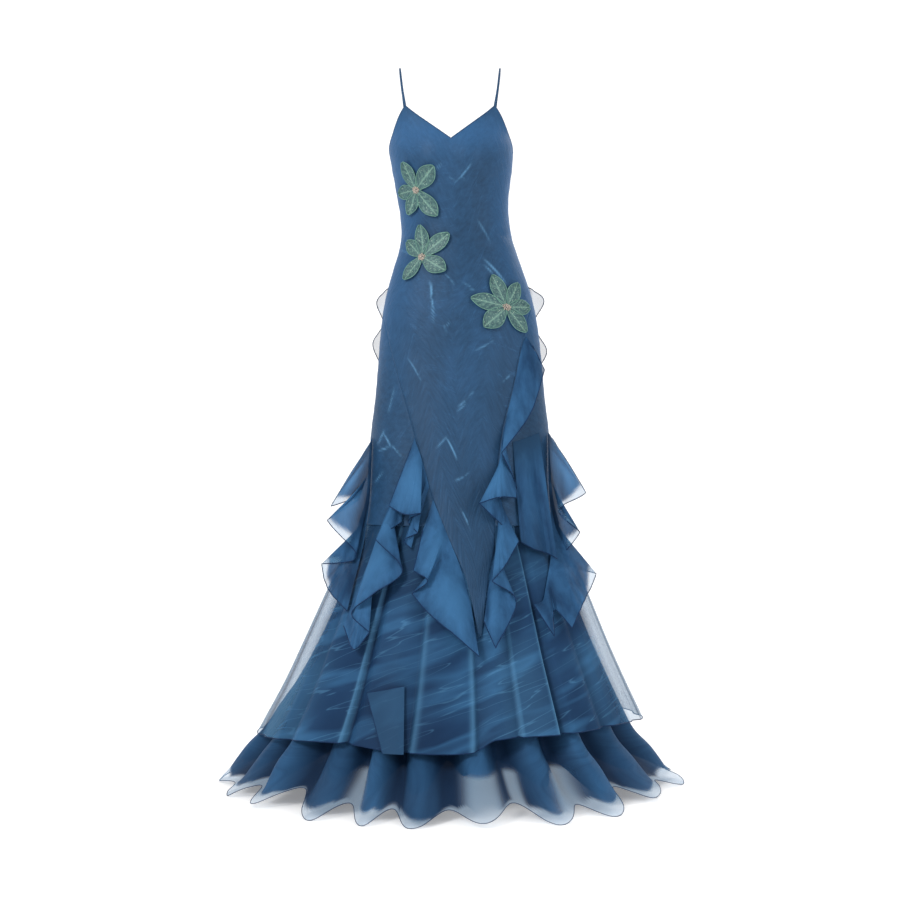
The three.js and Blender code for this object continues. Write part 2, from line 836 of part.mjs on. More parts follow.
const frontHeights = (angle) => heightsFromTop(angle, FRONT_HEIGHTS);
const backHeights = (angle) => heightsFromTop(angle, BACK_HEIGHTS);
const backRight = (z) => 360 - backSeam(z);
add("front_panel", sheathPanel(frontHeights, frontLeft, frontRight, WHOLE_COLUMNS), SATIN);
add("back_panel", sheathPanel(backHeights, backSeam, backRight, BACK_COLUMNS), SATIN);
add("side_front_left", sidePanel(FRONT_HEIGHTS, -510, () => -90, frontLeft), SATIN);
add("side_front_right", sidePanel(FRONT_HEIGHTS, -470, frontRight, () => 90), SATIN);
add("side_back_right", sidePanel(BACK_HEIGHTS, -435, () => 90, backSeam), SATIN);
add("side_back_left", sidePanel(BACK_HEIGHTS, -435, backRight, () => 270), SATIN);

for (const half of Object.keys(HALVES)) {
  add(
    "overskirt_" + half,
    skirtHalf(overskirtSurface, overskirtHeights, OVERSKIRT_MARKS, 9, half, SHEER_CLOTH),
    CHIFFON,
  );
  add(
    "underskirt_" + half,
    skirtHalf(underskirtSurface, underskirtHeights, FLUTE_MARKS, 9, half, SHEER_CLOTH),
    CHIFFON,
  );
  add(
    "lining_" + half,
    skirtHalf(liningSurface, liningHeights, [], 11.3, half, SHEER_CLOTH),
    LINING,
  );
}

for (const [name, rows] of Object.entries(RUFFLES)) add(name, ruffle(rows, 1), CHIFFON);
for (const [name, rows] of Object.entries(BACK_RUFFLES)) add(name, ruffle(rows, -1), CHIFFON);
for (const [name, flower] of Object.entries(FLOWERS)) add(name, flowerGeometry(flower), ORGANZA);
add("strap_right", strapGeometry(1), SATIN);
add("strap_left", strapGeometry(-1), SATIN);

export default gown;
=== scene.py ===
import json
import math

import bpy
import numpy as np
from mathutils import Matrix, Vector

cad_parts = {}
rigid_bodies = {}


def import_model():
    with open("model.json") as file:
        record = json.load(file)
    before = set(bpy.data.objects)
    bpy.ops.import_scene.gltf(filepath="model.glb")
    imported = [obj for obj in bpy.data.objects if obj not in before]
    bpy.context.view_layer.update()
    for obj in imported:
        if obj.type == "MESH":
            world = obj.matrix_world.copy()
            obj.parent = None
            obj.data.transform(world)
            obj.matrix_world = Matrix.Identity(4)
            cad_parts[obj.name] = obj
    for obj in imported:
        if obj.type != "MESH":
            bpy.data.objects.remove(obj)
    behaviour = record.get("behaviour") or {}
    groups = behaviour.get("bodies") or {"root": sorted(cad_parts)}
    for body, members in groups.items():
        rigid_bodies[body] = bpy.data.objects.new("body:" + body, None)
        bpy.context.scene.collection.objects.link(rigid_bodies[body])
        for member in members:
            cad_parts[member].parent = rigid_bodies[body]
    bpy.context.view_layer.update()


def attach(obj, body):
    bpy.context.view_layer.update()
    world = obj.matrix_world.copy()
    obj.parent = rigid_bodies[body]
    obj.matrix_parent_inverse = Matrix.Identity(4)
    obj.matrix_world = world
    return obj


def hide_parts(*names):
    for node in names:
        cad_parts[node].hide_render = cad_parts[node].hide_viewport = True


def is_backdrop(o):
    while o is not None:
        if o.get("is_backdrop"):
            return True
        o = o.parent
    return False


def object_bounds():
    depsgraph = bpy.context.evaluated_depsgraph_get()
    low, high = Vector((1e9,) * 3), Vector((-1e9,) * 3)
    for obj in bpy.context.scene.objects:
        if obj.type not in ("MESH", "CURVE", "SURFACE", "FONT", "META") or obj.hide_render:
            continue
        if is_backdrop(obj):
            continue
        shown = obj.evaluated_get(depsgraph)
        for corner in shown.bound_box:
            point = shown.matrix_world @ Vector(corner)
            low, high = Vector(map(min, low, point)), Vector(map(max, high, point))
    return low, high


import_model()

MM = 0.001
rng = np.random.default_rng(7)

# Cloth
SHEATH_CLOTH = 0.9
SEAM_GAP = 0.02
LAYER_GAP = 1.0
SHEER_CLOTH = 1.2
ROLLED_HEM = 1.0
FINE_HEM = 0.7
DEEPEST_FOLD = 22

# Heights
FLOOR = -1491
BODICE_FOOT = -300
OVERSKIRT_TOP = -850
LINING_TOP = -862
UNDERSKIRT_TOP = -1100
LINING_HEM = -1424
SIDE_PANEL_HEM = -955
POINT_TIP = -1165
OVERSKIRT_FOOT = -1370
LINING_WINDOW = -1408
WINDOW_TOP = -1412
DYE_TOP = -1130
LOW_DYE = -1150
VALLEY_TOP = -1180

OVERSKIRT_INSET = {"top": 1.5, "below": 1.9, "settles": 60}
LINING_INSET = {"top": 2.2, "below": 8, "settles": 120}
LINING_LEAVES = {"from": -875, "to": -1060}
# The flutes lean by this many degrees for each millimetre away from a height.
FLUTE_LEAN = {"by": 0.018, "from": -1400}
# A pointed panel's seam is the side seam from this far above its first row.
SEAM_LEAD = 4


def table(columns, rows):
    """Rows of numbers as arrays by column name."""
    return dict(zip(columns.split(), np.array(rows, float).T))


# The outside of the gown as a stack of half ellipses: the sheath, and the overskirt below it.
FORM = table("z centre half front back", [
    [-60, 0, 132, 80, 82], [-97, 0, 131, 84, 86], [-140, 1, 128, 94, 90],
    [-172, 2, 130, 103, 92], [-206, 4, 127, 106, 90], [-240, 5, 122, 101, 86],
    [-273, 6, 117, 94, 80], [-307, 9, 114, 88, 74], [-340, 12, 115, 86, 72],
    [-374, 15, 120, 88, 76], [-407, 16, 130, 92, 86], [-441, 17, 141, 96, 98],
    [-475, 18, 151, 100, 108], [-510, 19, 159, 103, 114], [-560, 20, 166, 107, 118],
    [-625, 21, 172, 112, 120], [-695, 21, 178, 119, 124], [-760, 21, 186, 128, 132],
    [-830, 20, 191, 138, 143], [-907, 20, 197, 151, 158], [-970, 18, 217, 173, 182],
    [-1033, 16, 247, 201, 212], [-1117, 14, 284, 237, 250], [-1200, 12, 320, 268, 285],
    [-1285, 11, 359, 303, 322], [-1361, 8, 397, 338, 358], [-1400, 4, 414, 354, 376],
])

# The underskirt between its flutes, from where it joins the lining out over the floor.
UNDER_FORM = table("z centre half front back flute", [
    [-875, 20, 185, 135, 140, 0], [-935, 19, 193, 148, 155, 0], [-985, 18, 206, 159, 168, 0],
    [-1042, 16, 223, 172, 184, 0], [-1100, 14, 243, 191, 205, 0],
    [-1117, 14, 249, 197, 211, 0.6], [-1200, 12, 283, 222, 240, 4],
    [-1285, 8, 321, 252, 274, 10], [-1330, 3, 342, 275, 299, 17], [-1382, 0, 367, 303, 326, 25],
    [-1415, 0, 394, 337, 358, 32], [-1441, 0, 418, 377, 392, 27], [-1466, 0, 443, 421, 429, 18],
    [-1485, 0, 467, 464, 465, 11], [-1500, 0, 478, 482, 481, 8],
])

# The cups stand out of the form on each side of the middle.
BUST = {"x": 58, "z": -196, "reach": 15, "spread_x": 44, "spread_z": 52}

# The top edge by angle from the front: the V, a cup's point, the underarm, the back.
TOP_EDGE = table("angle z", [
    [0, -167], [45, -91], [54, -110], [63, -130], [72, -149], [81, -166], [90, -180],
    [108, -190], [126, -178], [135, -162], [144, -166], [180, -172],
])

# Seams of the pointed panels, by angle from the front.
FRONT_SEAM_LEFT = table("z angle", [
    [-510, -89.2], [-528, -78], [-546, -69], [-614, -54], [-671, -44], [-737, -34], [-804, -26],
    [-875, -19], [-935, -11.5], [-984, -4.5], [-1042, 2.5], [-1098, 5.8], [-1165, 8.1],
])
FRONT_SEAM_RIGHT = table("z angle", [
    [-470, 89.2], [-500, 73], [-532, 60], [-600, 47], [-669, 38.5], [-741, 29.5], [-802, 25.2],
    [-863, 23], [-984, 18.7], [-1044, 14.2], [-1098, 11.6], [-1165, 9.1],
])
BACK_SEAM = table("z angle", [
    [-435, 90.8], [-470, 104], [-510, 116], [-600, 131], [-700, 142], [-800, 150], [-900, 158],
    [-1000, 167], [-1100, 175.5], [-1165, 179.4],
])

# Folds that run down the overskirt, each a trough pressed in by its depth at the hem. A lap of 1
# has its sharp edge on the left of the trough, -1 on its right, and 0 is soft on both sides.
OVERSKIRT_FOLDS = table("angle width depth lap", [
    [-76, 6, 9, 0], [-56, 5, 12, 0], [-33, 4, 22, 1], [-13, 8, 11, -1], [6.7, 7, 15, 1],
    [19, 4, 11, -1], [32.6, 4.5, 24, 1], [51, 5, 12, 0], [72, 6, 9, 0], [98, 7, 9, 0],
    [117, 6, 14, 1], [138, 5, 20, -1], [156, 5, 15, 1], [176, 5, 18, -1], [197, 6, 16, 1],
    [216, 5, 20, -1], [238, 6, 14, 1], [261, 7, 9, 0],
])
# Where the dye is paler low down on the overskirt, by angle, and by how much.
PALER = table("angle width light", [[22, 11, 0.16], [-58, 9, 0.16], [55, 9, 0.12]])
FLAP = {"top_left": [-162, -1274], "top_right": [-88, -1258], "foot_left": [-129, -1380]}
OVERSKIRT_HEM = table("angle z", [
    [-180, -1372], [-130, -1380], [-90, -1390], [-60, -1379], [-33, -1368], [-15, -1377],
    [6, -1376], [12, -1355], [33, -1352], [60, -1349], [90, -1361], [130, -1366], [180, -1372],
])

# Crests of the flutes in the underskirt's hem: how far each reaches, as a share, and how high
# off the floor the hem rises between it and the next.
FLUTES = table("angle reach rise", [
    [-88, 0.8, 12], [-68, 0.5, 30], [-52, 1.1, 36], [-33, 0.5, 30], [-20, 1.2, 26],
    [-9, 0.5, 20], [7, 1.3, 30], [25, 0.9, 24], [40, 1.2, 38], [59, 0.7, 20], [83, 0.8, 16],
    [102, 0.6, 34], [121, 1.2, 26], [141, 0.7, 38], [161, 1.1, 24], [183, 0.7, 34],
    [201, 1.1, 26], [219, 0.7, 36], [238, 1.1, 24], [254, 0.7, 30],
])

# Where the lining stops short, so that the floor shows through the sheer hem.
SHEER_WINDOWS = table("angle width", [
    [-24.5, 3], [8.2, 4.8], [17.5, 1.8], [31.2, 4.8], [113, 6], [150, 7], [192, 6], [229, 5],
])

# Ruffles. Each row is one turn of the free edge: where it leaves the seam, where its edge
# lies, and how far that edge stands out of the form. Rows run down the seam.
RUFFLE_COLUMNS = "seam_x seam_z edge_x edge_z out"
RUFFLES = {
    "ruffle_side_left": [
        [-161, -776, -170, -794, 9], [-162, -798, -246, -918, 76], [-163, -830, -186, -901, 24],
        [-164, -858, -253, -946, 78], [-166, -900, -189, -1018, 13], [-170, -944, -264, -1036, 46],
        [-176, -990, -248, -1084, 24], [-184, -1030, -206, -1124, 8],
    ],
    "ruffle_front_left": [
        [-96, -868, -96, -946, 7], [-108, -892, -150, -980, 36], [-122, -914, -94, -1040, 17],
        [-132, -936, -150, -1084, 40], [-141, -958, -194, -1124, 36], [-149, -980, -158, -1160, 20],
        [-156, -1002, -188, -1192, 28], [-163, -1022, -212, -1152, 13],
    ],
    "ruffle_point_left": [
        [-72, -776, -79, -798, 6], [-68, -790, -123, -915, 30], [-61, -808, -90, -930, 45],
        [-56, -824, -58, -928, 36], [-52, -838, -84, -944, 19], [-48, -852, -64, -968, 11],
        [-45, -864, -92, -982, 22], [-42, -876, -78, -998, 8],
    ],
    "ruffle_centre": [
        [-34, -902, -54, -962, 6], [-22, -931, -72, -1040, 22], [-10, -960, -44, -1058, 38],
        [4, -993, -75, -1084, 22], [18, -1027, -40, -1120, 32], [31, -1066, 6, -1156, 34],
        [42, -1110, 56, -1200, 18],
    ],
    "ruffle_point_right": [
        [157, -568, 170, -586, 9], [148, -590, 196, -636, 16], [131, -669, 164, -727, 24],
        [113, -742, 104, -808, 28], [106, -775, 132, -868, 9], [104, -790, 134, -898, 22],
        [102, -808, 98, -896, 44], [101, -828, 58, -908, 40], [99, -862, 98, -946, 16],
        [98, -900, 138, -984, 17], [97, -936, 108, -1030, 36], [95, -965, 82, -1058, 38],
        [90, -1004, 130, -1100, 17], [80, -1050, 88, -1184, 34], [72, -1096, 66, -1136, 12],
    ],
    "ruffle_front_right": [
        [128, -786, 142, -986, 8], [147, -780, 168, -1000, 22], [166, -773, 196, -1010, 11],
        [184, -766, 216, -1021, 27],
    ],
    "ruffle_side_right": [
        [204, -764, 213, -778, 9], [204, -792, 280, -890, 78], [204, -830, 224, -926, 22],
        [204, -864, 268, -971, 46], [206, -904, 230, -1026, 8], [208, -944, 302, -1057, 38],
        [207, -984, 270, -1104, 34], [203, -1024, 242, -1154, 28], [197, -1052, 208, -1120, 10],
        [191, -1078, 205, -1168, 22], [186, -1102, 166, -1108, 8],
    ],
}
BACK_RUFFLES = {
    "ruffle_back_right": [
        [156, -440, 164, -456, 8], [153, -462, 200, -484, 40], [148, -496, 178, -536, 9],
        [140, -530, 206, -592, 30], [131, -574, 180, -648, 9], [124, -620, 192, -716, 24],
        [117, -672, 138, -760, 9], [111, -724, 180, -846, 42], [105, -780, 118, -878, 11],
        [98, -840, 160, -982, 44], [89, -900, 92, -988, 12], [79, -956, 128, -1094, 40],
        [66, -1010, 62, -1092, 12], [50, -1064, 86, -1190, 34], [32, -1116, 30, -1170, 8],
    ],
    "ruffle_back_left": [
        [-122, -442, -130, -458, 8], [-119, -464, -156, -488, 32], [-113, -498, -142, -534, 9],
        [-106, -536, -164, -578, 27], [-96, -580, -142, -640, 9], [-88, -626, -150, -706, 22],
        [-80, -678, -104, -768, 9], [-74, -730, -142, -838, 40], [-68, -784, -82, -888, 11],
        [-60, -842, -126, -974, 42], [-51, -900, -56, -998, 12], [-41, -956, -94, -1086, 38],
        [-30, -1008, -30, -1100, 12], [-16, -1062, -54, -1182, 32], [0, -1112, -6, -1166, 8],
    ],
}

# Flowers: a petal's bearing from the right, counter-clockwise, its length and its width.
PETAL_COLUMNS = ["bearing", "length", "width"]
FLOWERS = {
    "flower_ribs": {
        "angle": -39,
        "z": -268,
        "petals": [[112, 62, 25], [44, 62, 30], [-55, 66, 29], [-118, 54, 25], [-176, 50, 24]],
    },
    "flower_waist": {
        "angle": -34,
        "z": -405,
        "petals": [[96, 66, 25], [43, 68, 27], [-30, 60, 28], [-126, 56, 25], [140, 54, 24]],
    },
    "flower_hip": {
        "angle": 37,
        "z": -509,
        "petals": [
            [107, 68, 28], [53, 64, 26], [2, 62, 26], [-51, 64, 29], [-141, 66, 31], [166, 70, 28],
        ],
    },
}
FLOWER_LIFT = 0.9
PETAL_CLOTH = 0.7
PETAL_BEADS = 9
EYE_BEADS = 24
GOLDEN_TURN = 2.39996
PETAL_CUP = 4
EYE_RADIUS = 7

# Where a strap's centreline runs between its two ends, for the right one.
STRAP_WIDTH = 4.4
STRAP_ROUTE = table("x y z", [
    [98, -50, -58], [103, -27, -18], [105, 0, -2.2], [104, 26, -18], [97, 54, -78],
    [94, 63, -130],
])
STRAP_ENDS = {"front": 45, "back": 135}

# Short creases in the satin, raised and painted with a highlight: middle, bearing from the right,
# length, width and height.
CREASES = table("x z bearing length width height", [
    [-25, -226, 42, 26, 1.5, 0.5], [30, -236, 49, 59, 1.7, 0.6], [5, -250, 142, 20, 1.5, 0.5],
    [26, -248, 150, 12, 1.6, 0.5], [94, -434, 133, 75, 1.9, 0.9], [80, -432, 135, 34, 1.6, 0.6],
    [-36, -498, 95, 95, 1.8, 0.8], [-38, -480, 88, 44, 1.6, 0.7], [0, -453, 130, 34, 1.6, 0.5],
    [39, -468, 141, 42, 1.5, 0.4], [-10, -555, 100, 28, 1.6, 0.5], [-4, -545, 60, 18, 1.5, 0.4],
    [116, -656, 45, 24, 1.6, 0.6], [32, -701, 45, 52, 1.8, 0.8], [24, -716, 40, 30, 1.5, 0.5],
    [-17, -787, 48, 36, 1.5, 0.6], [4, -798, 116, 56, 1.7, 0.8], [25, -856, 30, 38, 1.5, 0.5],
    [18, -862, 24, 24, 1.4, 0.4], [32, -940, 114, 52, 1.6, 0.6], [-142, -776, 62, 36, 1.6, 0.8],
    [-128, -782, 118, 36, 1.6, 0.8], [-136, -800, 18, 28, 1.6, 0.7],
    [-109, -803, 130, 32, 1.6, 0.7], [-146, -858, 52, 34, 1.5, 0.6],
    [-120, -700, 75, 60, 1.6, 0.5], [-70, -640, 120, 70, 1.6, 0.5],
    [70, -590, 30, 50, 1.6, 0.5], [-86, -395, 150, 60, 1.6, 0.4], [70, -350, 120, 60, 1.8, 0.4],
])
# Broad drag folds of the bias cut, as soft troughs.
DRAGS = table("x z bearing length width height", [
    [-70, -250, 152, 110, 16, -1.5], [80, -250, 28, 110, 16, -1.5],
    [-80, -345, 12, 120, 13, -1.4], [90, -350, 168, 120, 13, -1.6],
    [-60, -385, 20, 130, 15, -1.4], [80, -390, 160, 130, 15, -1.3],
    [20, -460, 12, 190, 22, -1.2], [-70, -600, 130, 190, 20, -1.4],
    [90, -640, 55, 190, 20, -1.4], [10, -740, 90, 210, 22, -1.3],
    [-90, -780, 110, 170, 18, -1.8], [60, -880, 80, 170, 16, -1.6], [0, -230, 90, 90, 26, -1.6],
])


# Curves
def down_by(count):
    """Shares from 0 to 1, one for each row."""
    return np.linspace(0, 1, count)[:, None]


def share_of(value):
    return np.clip(value, 0, 1)


def eased(share):
    return share * share * (3 - 2 * share)


def hill(x, middle, spread):
    """A soft hump of height 1 round a middle."""
    return np.exp(-(((x - middle) / spread) ** 2))


def wave(degrees):
    return np.sin(np.radians(degrees))


def curve(t, y, i, start, end):
    """A smooth run from one value to the next, with its slopes at both."""
    a, b = 3 * t**2 - 2 * t**3, t**3 - t**2
    return (1 - a) * y[i] + (b - t**2 + t) * start + a * y[i + 1] + b * end


def read(rows, along, at, column):
    """Smooth value of a column between the rows of a table, read along another of its columns."""
    x, y = rows[along], rows[column]
    if x[0] > x[-1]:
        x, y = x[::-1], y[::-1]
    slope = np.gradient(y)
    slope[1:-1] = (y[2:] - y[:-2]) / (x[2:] - x[:-2])
    slope[0] = (y[1] - y[0]) / (x[1] - x[0])
    slope[-1] = (y[-1] - y[-2]) / (x[-1] - x[-2])
    at = np.clip(at, x[0], x[-1])
    i = np.clip(np.searchsorted(x, at) - 1, 0, len(x) - 2)
    span = x[i + 1] - x[i]
    return curve((at - x[i]) / span, y, i, span * slope[i], span * slope[i + 1])


# Surfaces
def bust_reach(x, z):
    cups = hill(x, BUST["x"], BUST["spread_x"]) + hill(x, -BUST["x"], BUST["spread_x"])
    return BUST["reach"] * cups * hill(z, BUST["z"], BUST["spread_z"])


def point_at(form, angle, z, out):
    """Points by their angle from the front, their height and their distance out of a form."""
    angle, z, out = np.broadcast_arrays(angle, z, out)
    a = np.radians(angle)
    front = np.cos(a) > 0
    depth = np.where(front, read(form, "z", z, "front"), read(form, "z", z, "back"))
    x = read(form, "z", z, "centre") + (read(form, "z", z, "half") + out) * np.sin(a)
    cup = np.where(front & (z > BODICE_FOOT), bust_reach(x, z) * np.cos(a) ** 2, 0)
    return np.stack([x, -(depth + out + cup) * np.cos(a), z], -1)


def point_across(x, z, out, side):
    """Points of the form by their x, on the front (side 1) or the back (side -1)."""
    reach = read(FORM, "z", z, "half") + out
    angle = np.degrees(np.arcsin(np.clip((x - read(FORM, "z", z, "centre")) / reach, -1, 1)))
    return point_at(FORM, angle if side > 0 else 180 - angle, z, out)


def inset_at(inset, top, z):
    return inset["top"] + (inset["below"] - inset["top"]) * share_of((top - z) / inset["settles"])


def turned(angle):
    return (angle + 180) % 360 - 180


def normals_of(grid):
    """Unit normals of a grid of points, out of the side from which rows run down and columns right."""
    down = np.gradient(grid, axis=0)
    across = np.gradient(grid, axis=1)
    normal = np.cross(down, across)
    return normal / np.maximum(np.linalg.norm(normal, axis=-1, keepdims=True), 1e-9)


def lone(cover):
    """How much of a place is one sheer layer, whose own color is paler than the layers' together."""
    return share_of((0.75 - cover) * 2.6)


# Marks pressed into the satin: each a line on the cloth with a soft cross-section.
def marks(x, z, rows):
    """How far the cloth is raised at each point."""
    raised = np.zeros_like(x)
    for mx, mz, bearing, length, width, height in zip(*rows.values()):
        a = math.radians(bearing)
        along = (x - mx) * math.cos(a) + (z - mz) * math.sin(a)
        across = (z - mz) * math.cos(a) - (x - mx) * math.sin(a) - along**2 / length * 0.12
        fade = share_of(1 - (2 * along / length) ** 2)
        raised += height * fade * hill(across, 0, width)
    return raised


# Meshes
def linked(name, data):
    obj = bpy.data.objects.new(name, data)
    bpy.context.scene.collection.objects.link(obj)
    return obj


def add_mesh(name, points, faces, uv=None, values=None):
    """A smooth mesh object from points in millimetres."""
    mesh = bpy.data.meshes.new(name)
    faces = faces.tolist() if isinstance(faces, np.ndarray) else faces
    mesh.from_pydata((np.asarray(points) * MM).tolist(), [], faces)
    if uv is not None:
        layer = mesh.uv_layers.new(name="cloth")
        index = np.empty(len(mesh.loops), int)
        mesh.loops.foreach_get("vertex_index", index)
        layer.data.foreach_set("uv", np.asarray(uv, float)[index].ravel())
    for key, data in (values or {}).items():
        attribute = mesh.attributes.new(key, "FLOAT", "POINT")
        attribute.data.foreach_set("value", np.asarray(data, float).ravel())
    mesh.polygons.foreach_set("use_smooth", [True] * len(mesh.polygons))
    mesh.update()
    obj = linked(name, mesh)
    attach(obj, "root")
    return obj


def grid_faces(rows, columns, offset=0, flip=False):
    r, c = np.meshgrid(np.arange(rows - 1), np.arange(columns - 1), indexing="ij")
    a = (offset + r * columns + c).ravel()
    quads = np.stack([a, a + columns, a + columns + 1, a + 1], -1)
    return quads[:, ::-1] if flip else quads


def cloth_uv(grid):
    """Distances across and down the cloth, in metres, as its weave runs."""
    across = np.linalg.norm(np.diff(grid, axis=1, prepend=grid[:, :1]), axis=-1).cumsum(1)
    across -= across[:, across.shape[1] // 2][:, None]
    down = np.linalg.norm(np.diff(grid, axis=0, prepend=grid[:1]), axis=-1).cumsum(0)
    return np.stack([across, -down], -1).reshape(-1, 2) * MM


def sheet_mesh(name, grid, values=None):
    """One layer of sheer cloth from a grid of points."""
    rows, columns = grid.shape[:2]
    return add_mesh(name, grid.reshape(-1, 3), grid_faces(rows, columns), cloth_uv(grid), values)


def shell_mesh(name, grid, thickness, values):
    """A closed thin wall whose outside is a grid of points."""
    rows, columns = grid.shape[:2]
    count = rows * columns
    inside = grid - normals_of(grid) * thickness
    points = np.concatenate([grid.reshape(-1, 3), inside.reshape(-1, 3)])
    index = np.arange(count).reshape(rows, columns)
    rim = np.concatenate([index[0, :-1], index[:-1, -1], index[-1, :0:-1], index[:0:-1, 0]])
    following = np.roll(rim, -1)
    edge = np.stack([rim, following, following + count, rim + count], -1)
    faces = np.concatenate(
        [grid_faces(rows, columns), grid_faces(rows, columns, count, flip=True), edge]
    )
    uv = cloth_uv(grid)
    doubled = {key: np.tile(data.ravel(), 2) for key, data in values.items()}
    return add_mesh(name, points, faces, np.concatenate([uv, uv]), doubled)


def tube_mesh(name, path, radius, sides=8, closed=False):
    """A thin round tube along a path, with capped ends unless it closes on itself."""
    path = np.asarray(path, float)
    radius = np.broadcast_to(radius, len(path))
    ahead = np.gradient(path, axis=0)
    if closed:
        ahead = np.roll(path, -1, 0) - np.roll(path, 1, 0)
    ahead /= np.maximum(np.linalg.norm(ahead, axis=1, keepdims=True), 1e-9)
    side = np.cross(ahead, [0.31, 0.22, 0.92])
    side /= np.linalg.norm(side, axis=1, keepdims=True)
    up = np.cross(side, ahead)
    turn = np.linspace(0, 2 * np.pi, sides, endpoint=False)
    ring = np.cos(turn)[None, :, None] * side[:, None] + np.sin(turn)[None, :, None] * up[:, None]
    points = (path[:, None] + ring * radius[:, None, None]).reshape(-1, 3)
    count = len(path)
    faces = []
    for r in range(count if closed else count - 1):
        for s in range(sides):
            n, t = (r + 1) % count, (s + 1) % sides
            faces.append([r * sides + s, r * sides + t, n * sides + t, n * sides + s])
    if not closed:
        faces.append(list(range(sides))[::-1])
        faces.append([(count - 1) * sides + s for s in range(sides)])
    return add_mesh(name, points, faces)


def joined(name, objects):
    """Several mesh objects as one."""
    with bpy.context.temp_override(active_object=objects[0], selected_editable_objects=objects):
        bpy.ops.object.join()
    objects[0].name = name
    return objects[0]


# Materials
class Paint:
    """A material's node tree, with one short call for each kind of node that the cloths use."""

    def __init__(self, name, roughness, sheen=0.0, specular=0.3):
        self.material = bpy.data.materials.new(name)
        self.material.use_nodes = True
        self.nodes = self.material.node_tree.nodes
        self.shader = self.nodes["Principled BSDF"]
        self.feed(self.shader, {
            "Roughness": roughness, "Sheen Weight": sheen, "Sheen Roughness": 0.4,
            "Sheen Tint": (0.18, 0.45, 0.9, 1), "Specular IOR Level": specular,
        })

    def feed(self, node, inputs):
        """Sockets are linked, and anything else is a constant."""
        for key, value in inputs.items():
            if isinstance(value, bpy.types.NodeSocket):
                self.material.node_tree.links.new(value, node.inputs[key])
            else:
                node.inputs[key].default_value = value

    def add(self, kind, inputs=None, **settings):
        node = self.nodes.new(kind)
        for key, value in settings.items():
            setattr(node, key, value)
        self.feed(node, inputs or {})
        return node

    def space(self, of, scale, turn=0.0):
        """Object or cloth coordinates, turned in the cloth's plane and stretched."""
        where = self.add("ShaderNodeTexCoord").outputs["Object"]
        if of == "cloth":
            where = self.add("ShaderNodeUVMap", uv_map="cloth").outputs["UV"]
        angles = (0, 0, math.radians(turn))
        turning = self.add("ShaderNodeMapping", {"Rotation": angles, "Vector": where})
        inputs = {"Scale": scale, "Vector": turning.outputs["Vector"]}
        return self.add("ShaderNodeMapping", inputs).outputs["Vector"]

    def noise(self, space, scale, detail=4.0, roughness=0.55, distortion=0.0):
        inputs = {"Scale": scale, "Detail": detail, "Roughness": roughness, "Distortion": distortion}
        return self.add("ShaderNodeTexNoise", inputs | {"Vector": space}).outputs["Fac"]

    def specks(self, scale, detail, roughness=0.55):
        """Noise that is the same in every direction."""
        return self.noise(self.space("object", (1, 1, 1)), scale, detail, roughness)

    def ramp(self, value, stops):
        node = self.add("ShaderNodeValToRGB", {"Fac": value})
        elements = node.color_ramp.elements
        elements.remove(elements[1])
        elements[0].position = stops[0][0]
        elements[0].color = (*stops[0][1], 1)
        for place, color in stops[1:]:
            elements.new(place).color = (*color, 1)
        return node.outputs["Color"]

    def levels(self, value, stops):
        """A ramp of greys, to mix by."""
        return self.ramp(value, [(place, (grey,) * 3) for place, grey in stops])

    def mix(self, share, a, b):
        colors = {6: a, 7: b}
        for key, color in colors.items():
            colors[key] = (*color, 1) if isinstance(color, tuple) else color
        return self.add("ShaderNodeMix", {"Factor": share} | colors, data_type="RGBA").outputs[2]

    def math(self, operation, a, b):
        return self.add("ShaderNodeMath", {0: a, 1: b}, operation=operation).outputs["Value"]

    def attribute(self, name):
        return self.add("ShaderNodeAttribute", attribute_name=name).outputs["Fac"]

    def where(self, name, a, b):
        """One color that turns to another where a vertex attribute is 1."""
        return self.mix(self.attribute(name), a, b)

    def color(self, socket):
        self.feed(self.shader, {"Base Color": socket})

    def bump(self, heights):
        """Bumps from (height, distance in metres) pairs, one on another."""
        under = {}
        for height, distance in heights:
            inputs = {"Strength": 1.0, "Distance": distance, "Height": height}
            under = {"Normal": self.add("ShaderNodeBump", inputs | under).outputs["Normal"]}
        self.feed(self.shader, under)

    def weave(self, threads):
        """Crossed threads of the cloth, at so many to the metre."""
        inputs = {"Scale": threads, "Vector": self.space("cloth", (1, 1, 1))}
        ways = [self.add("ShaderNodeTexWave", inputs, bands_direction=way) for way in "XY"]
        return self.math("ADD", *(way.outputs["Fac"] for way in ways))


# Blues of the dye, from NIGHT, the painted shade between the folds, to the palest streaks; PALE and
# BRIGHT also paint highlights
NIGHT = (0.005, 0.018, 0.050)
DEEP = (0.012, 0.040, 0.100)
BLUE = (0.025, 0.080, 0.180)
BRIGHT = (0.040, 0.130, 0.280)
PALE = (0.090, 0.250, 0.430)
SINGLE = (0.120, 0.300, 0.500)
HEM_BLUE = (0.006, 0.022, 0.065)
DYE_DARK = (0.008, 0.029, 0.076)
DYE_MID = (0.017, 0.057, 0.130)


